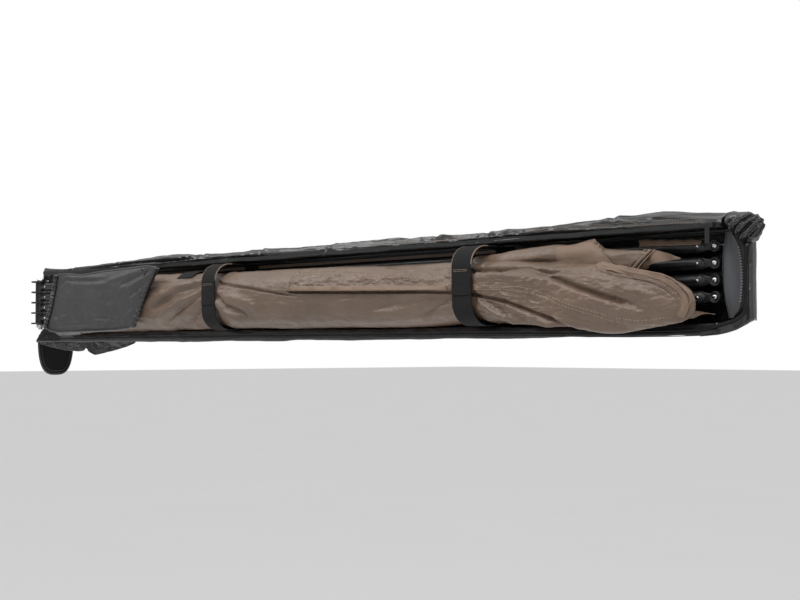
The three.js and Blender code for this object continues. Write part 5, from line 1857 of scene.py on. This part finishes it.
CAMERA_PLACE = (2.507, -2.085, -0.1287)
CAMERA_AZIMUTH, CAMERA_PITCH = math.radians(47.6), math.radians(1.9)
CAMERA_LENS, SENSOR_WIDTH = 67.5, 36.0
FLOOR_HALF = 120.0
LAMPS = (  # name, place, aim, size, share of the lamp power
    ("key", (0.9, -1.5, 2.5), (0.1, -0.1, 0.0), (3.4, 1.2), 1.0),
    ("fill", (3.6, -1.0, 1.2), (0.6, -0.1, 0.0), (1.4, 1.4), 0.3),
    ("front", (1.4, -3.4, 0.3), (0.2, -0.1, 0.0), (2.6, 1.0), 0.12),
    ("side", (3.0, 1.4, 0.7), (1.1, -0.06, 0.0), (1.0, 1.0), 0.22),
    ("rear", (-1.9, -1.5, 1.7), (-0.7, -0.1, 0.0), (1.4, 1.4), 0.35))


def lamp(name, place, aim, size, power):
    light = bpy.data.lights.new(name, "AREA")
    light.shape, light.size, light.size_y, light.energy = "RECTANGLE", size[0], size[1], power
    obj = bpy.data.objects.new(name, light)
    bpy.context.scene.collection.objects.link(obj)
    obj.location = place
    obj.rotation_euler = (Vector(aim) - Vector(place)).to_track_quat("-Z", "Y").to_euler()


def make_stage(stage):
    scene = bpy.context.scene
    camera = bpy.data.objects.new("camera", bpy.data.cameras.new("camera"))
    scene.collection.objects.link(camera)
    camera.location = CAMERA_PLACE
    camera.rotation_euler = (math.pi / 2 + CAMERA_PITCH, 0, CAMERA_AZIMUTH)
    camera.data.lens, camera.data.sensor_width = CAMERA_LENS, SENSOR_WIDTH
    camera.data.clip_end = 500.0
    scene.camera = camera
    corners = [(x * FLOOR_HALF, y * FLOOR_HALF, 0) for x, y in ((-1, -1), (1, -1), (1, 1), (-1, 1))]
    floor = piece("floor", corners, [(0, 1, 2, 3)])
    floor.location.z = -stage.floor_drop
    finish = Finish("stage_floor", (0.9, 0.9, 0.9), 0.85)
    finish.colours(finish.noise(0.6, 3.0), (0.9, 0.9, 0.9), (0.93, 0.93, 0.93))
    floor.data.materials.append(finish.material)
    for name, place, aim, size, share in LAMPS:
        lamp(name, place, aim, size, stage.lamp_power * share)
    world = bpy.data.worlds.new("studio")
    scene.world = world
    world.use_nodes = True
    tree = world.node_tree
    tree.nodes.clear()
    even, seen, place, split, height, path, mix, out = (tree.nodes.new("ShaderNode" + kind) for kind in (
        "Background", "Background", "TexCoord", "SeparateXYZ", "MapRange", "LightPath", "MixShader",
        "OutputWorld"))
    for light in (even, seen):
        light.inputs["Color"].default_value = (1, 1, 1, 1)
    seen.inputs["Strength"].default_value = 1.0
    for socket, number in (("From Min", 0.0), ("From Max", 0.7), ("To Min", 0.3 * stage.world_light),
                           ("To Max", 1.25 * stage.world_light)):
        height.inputs[socket].default_value = number
    for output, socket in (
            (place.outputs["Generated"], split.inputs[0]),
            (split.outputs["Z"], height.inputs["Value"]),
            (height.outputs["Result"], even.inputs["Strength"]),
            (path.outputs["Is Camera Ray"], mix.inputs["Fac"]),
            (even.outputs[0], mix.inputs[1]), (seen.outputs[0], mix.inputs[2]),
            (mix.outputs[0], out.inputs["Surface"])):
        tree.links.new(output, socket)
    scene.view_settings.view_transform = "Standard"


# Operators

def built(*names):
    """Ends an operator once its pieces are there."""
    missing = [name for name in names if name not in bpy.data.objects]
    if missing:
        raise RuntimeError("not built: " + ", ".join(missing))
    return {"FINISHED"}


class AWNING_OT_stage(bpy.types.Operator):
    """Camera at the photograph's angle, soft lamps, world and floor"""
    bl_idname = "awning.stage"
    bl_label = "Stage"

    def execute(self, context):
        make_stage(context.scene.awning_stage)
        return built("camera", "floor", "key")


class AWNING_OT_hub(bpy.types.Operator):
    """Hub comb, pin and nut"""
    bl_idname = "awning.hub"
    bl_label = "Hub"

    def execute(self, context):
        make_hub(context.scene.awning_frame)
        return built("hub_comb", "hub_pin_steel", "hub_nut_steel")


class AWNING_OT_arms(bpy.types.Operator):
    """Four arms with their knuckles, tips and pivot bolts"""
    bl_idname = "awning.arms"
    bl_label = "Arms"

    def execute(self, context):
        for k in LEVELS:
            make_arm(k)
        return built(*(f"arm_{k}_pole" for k in LEVELS))


class AWNING_OT_legs(bpy.types.Operator):
    """Four drop legs with their locks and feet"""
    bl_idname = "awning.legs"
    bl_label = "Legs"

    def execute(self, context):
        for k in LEVELS:
            make_leg(k)
        return built(*(f"leg_{k}_collar" for k in LEVELS))


class AWNING_OT_board(bpy.types.Operator):
    """Backboard with its brackets and bolts"""
    bl_idname = "awning.board"
    bl_label = "Backboard"

    def execute(self, context):
        make_board(context.scene.awning_frame)
        return built("backboard_profile", "bracket_rear", "bracket_front")


class AWNING_OT_tray(bpy.types.Operator):
    """Bag tray with its zip lip and the loose flap under it"""
    bl_idname = "awning.tray"
    bl_label = "Bag tray"

    def execute(self, context):
        bag = context.scene.awning_bag
        make_tray(bag)
        make_skirt(bag)
        make_lip_tuck(bag)
        return built("bag_tray_cloth", "tray_zip", "bag_lower_flap")


class AWNING_OT_bag_front(bpy.types.Operator):
    """Front wall of the bag and its lens-shaped lining"""
    bl_idname = "awning.bag_front"
    bl_label = "Bag front end"

    def execute(self, context):
        make_front_end(context.scene.awning_bag)
        make_hinge_bead()
        make_gusset()
        return built("bag_front_wall", "front_floor_cloth", "front_gusset_lining", "gusset_zip")


class AWNING_OT_cover(bpy.types.Operator):
    """Turned-back bag cover with its zip and slider"""
    bl_idname = "awning.cover"
    bl_label = "Bag cover"

    def execute(self, context):
        make_cover(context.scene.awning_bag)
        make_track()
        return built("bag_cover_cloth", "cover_zip", "zip_slider_body")


class AWNING_OT_bunch(bpy.types.Operator):
    """Gathered front corner of the cover"""
    bl_idname = "awning.bunch"
    bl_label = "Cover corner"

    def execute(self, context):
        make_bunch(context.scene.awning_bag)
        return built("cover_bunch_cloth", "bunch_binding")


class AWNING_OT_end_cap(bpy.types.Operator):
    """Rear end of the bag, hanging open"""
    bl_idname = "awning.end_cap"
    bl_label = "Rear end cap"

    def execute(self, context):
        make_end_cap(context.scene.awning_bag)
        return built("rear_cap_cloth", "rear_cap_rim")


class AWNING_OT_roll(bpy.types.Operator):
    """Rolled canopy with its folds, seams and hems"""
    bl_idname = "awning.roll"
    bl_label = "Canopy roll"

    def execute(self, context):
        make_roll(context.scene.awning_canopy)
        make_roll_wrap()
        return built("canopy_roll_cloth", "canopy_stitching", "roll_end_wrap")


class AWNING_OT_upper_layers(bpy.types.Operator):
    """Upper canopy layers, the turned corner and the sleeve on the top arm"""
    bl_idname = "awning.upper_layers"
    bl_label = "Canopy layers"

    def execute(self, context):
        make_upper_fold()
        make_corner_strip()
        make_corner_wing()
        make_floor_corner()
        make_hem_sleeve()
        return built("canopy_upper_layer", "corner_strip_cloth", "canopy_hem_sleeve")


class AWNING_OT_gores(bpy.types.Operator):
    """Canopy cloth from each arm to the next"""
    bl_idname = "awning.gores"
    bl_label = "Canopy gores"

    def execute(self, context):
        make_gores()
        make_apex()
        return built(*(f"canopy_gore_{k}" for k in LEVELS))


class AWNING_OT_straps(bpy.types.Operator):
    """Webbing straps round the roll and the short webbing tab"""
    bl_idname = "awning.straps"
    bl_label = "Straps"

    def execute(self, context):
        canopy = context.scene.awning_canopy
        make_strap("strap_rear", -0.004, canopy)
        make_strap("strap_front", -0.006, canopy)
        make_tab()
        return built("strap_rear_webbing", "strap_front_webbing", "strap_tab_webbing")


class AWNING_OT_pouch(bpy.types.Operator):
    """Pouch for pegs and ropes"""
    bl_idname = "awning.pouch"
    bl_label = "Peg pouch"

    def execute(self, context):
        make_pouch()
        return built("peg_pouch_cloth", "peg_pouch_piping")


OPERATORS = (AWNING_OT_stage, AWNING_OT_hub, AWNING_OT_arms, AWNING_OT_legs, AWNING_OT_board,
             AWNING_OT_tray, AWNING_OT_bag_front, AWNING_OT_cover, AWNING_OT_bunch,
             AWNING_OT_end_cap, AWNING_OT_roll, AWNING_OT_upper_layers, AWNING_OT_gores,
             AWNING_OT_straps, AWNING_OT_pouch)


class AWNING_PT_build(bpy.types.Panel):
    """Lists the awning's build steps in order"""
    bl_idname = "AWNING_PT_build"
    bl_label = "Side awning"
    bl_space_type = "VIEW_3D"
    bl_region_type = "UI"
    bl_category = "Awning"

    def draw(self, context):
        column = self.layout.column(align=True)
        for operator in OPERATORS:
            column.operator(operator.bl_idname)
        for group in (context.scene.awning_canopy, context.scene.awning_bag,
                      context.scene.awning_frame, context.scene.awning_stage):
            box = self.layout.box()
            for name in group.bl_rna.properties.keys():
                if name not in ("rna_type", "name"):
                    box.prop(group, name)


GROUPS = {
    "awning_canopy": AwningCanopySettings,
    "awning_bag": AwningBagSettings,
    "awning_frame": AwningFrameSettings,
    "awning_stage": AwningStageSettings,
}


def register():
    for name, group in GROUPS.items():
        bpy.utils.register_class(group)
        setattr(bpy.types.Scene, name, bpy.props.PointerProperty(type=group))
    for operator in OPERATORS:
        bpy.utils.register_class(operator)
    bpy.utils.register_class(AWNING_PT_build)


def unregister():
    bpy.utils.unregister_class(AWNING_PT_build)
    for operator in reversed(OPERATORS):
        bpy.utils.unregister_class(operator)
    for name, group in GROUPS.items():
        delattr(bpy.types.Scene, name)
        bpy.utils.unregister_class(group)


def main():
    register()
    for operator in OPERATORS:
        space, name = operator.bl_idname.split(".")
        getattr(getattr(bpy.ops, space), name)()


if __name__ == "__main__":
    main()
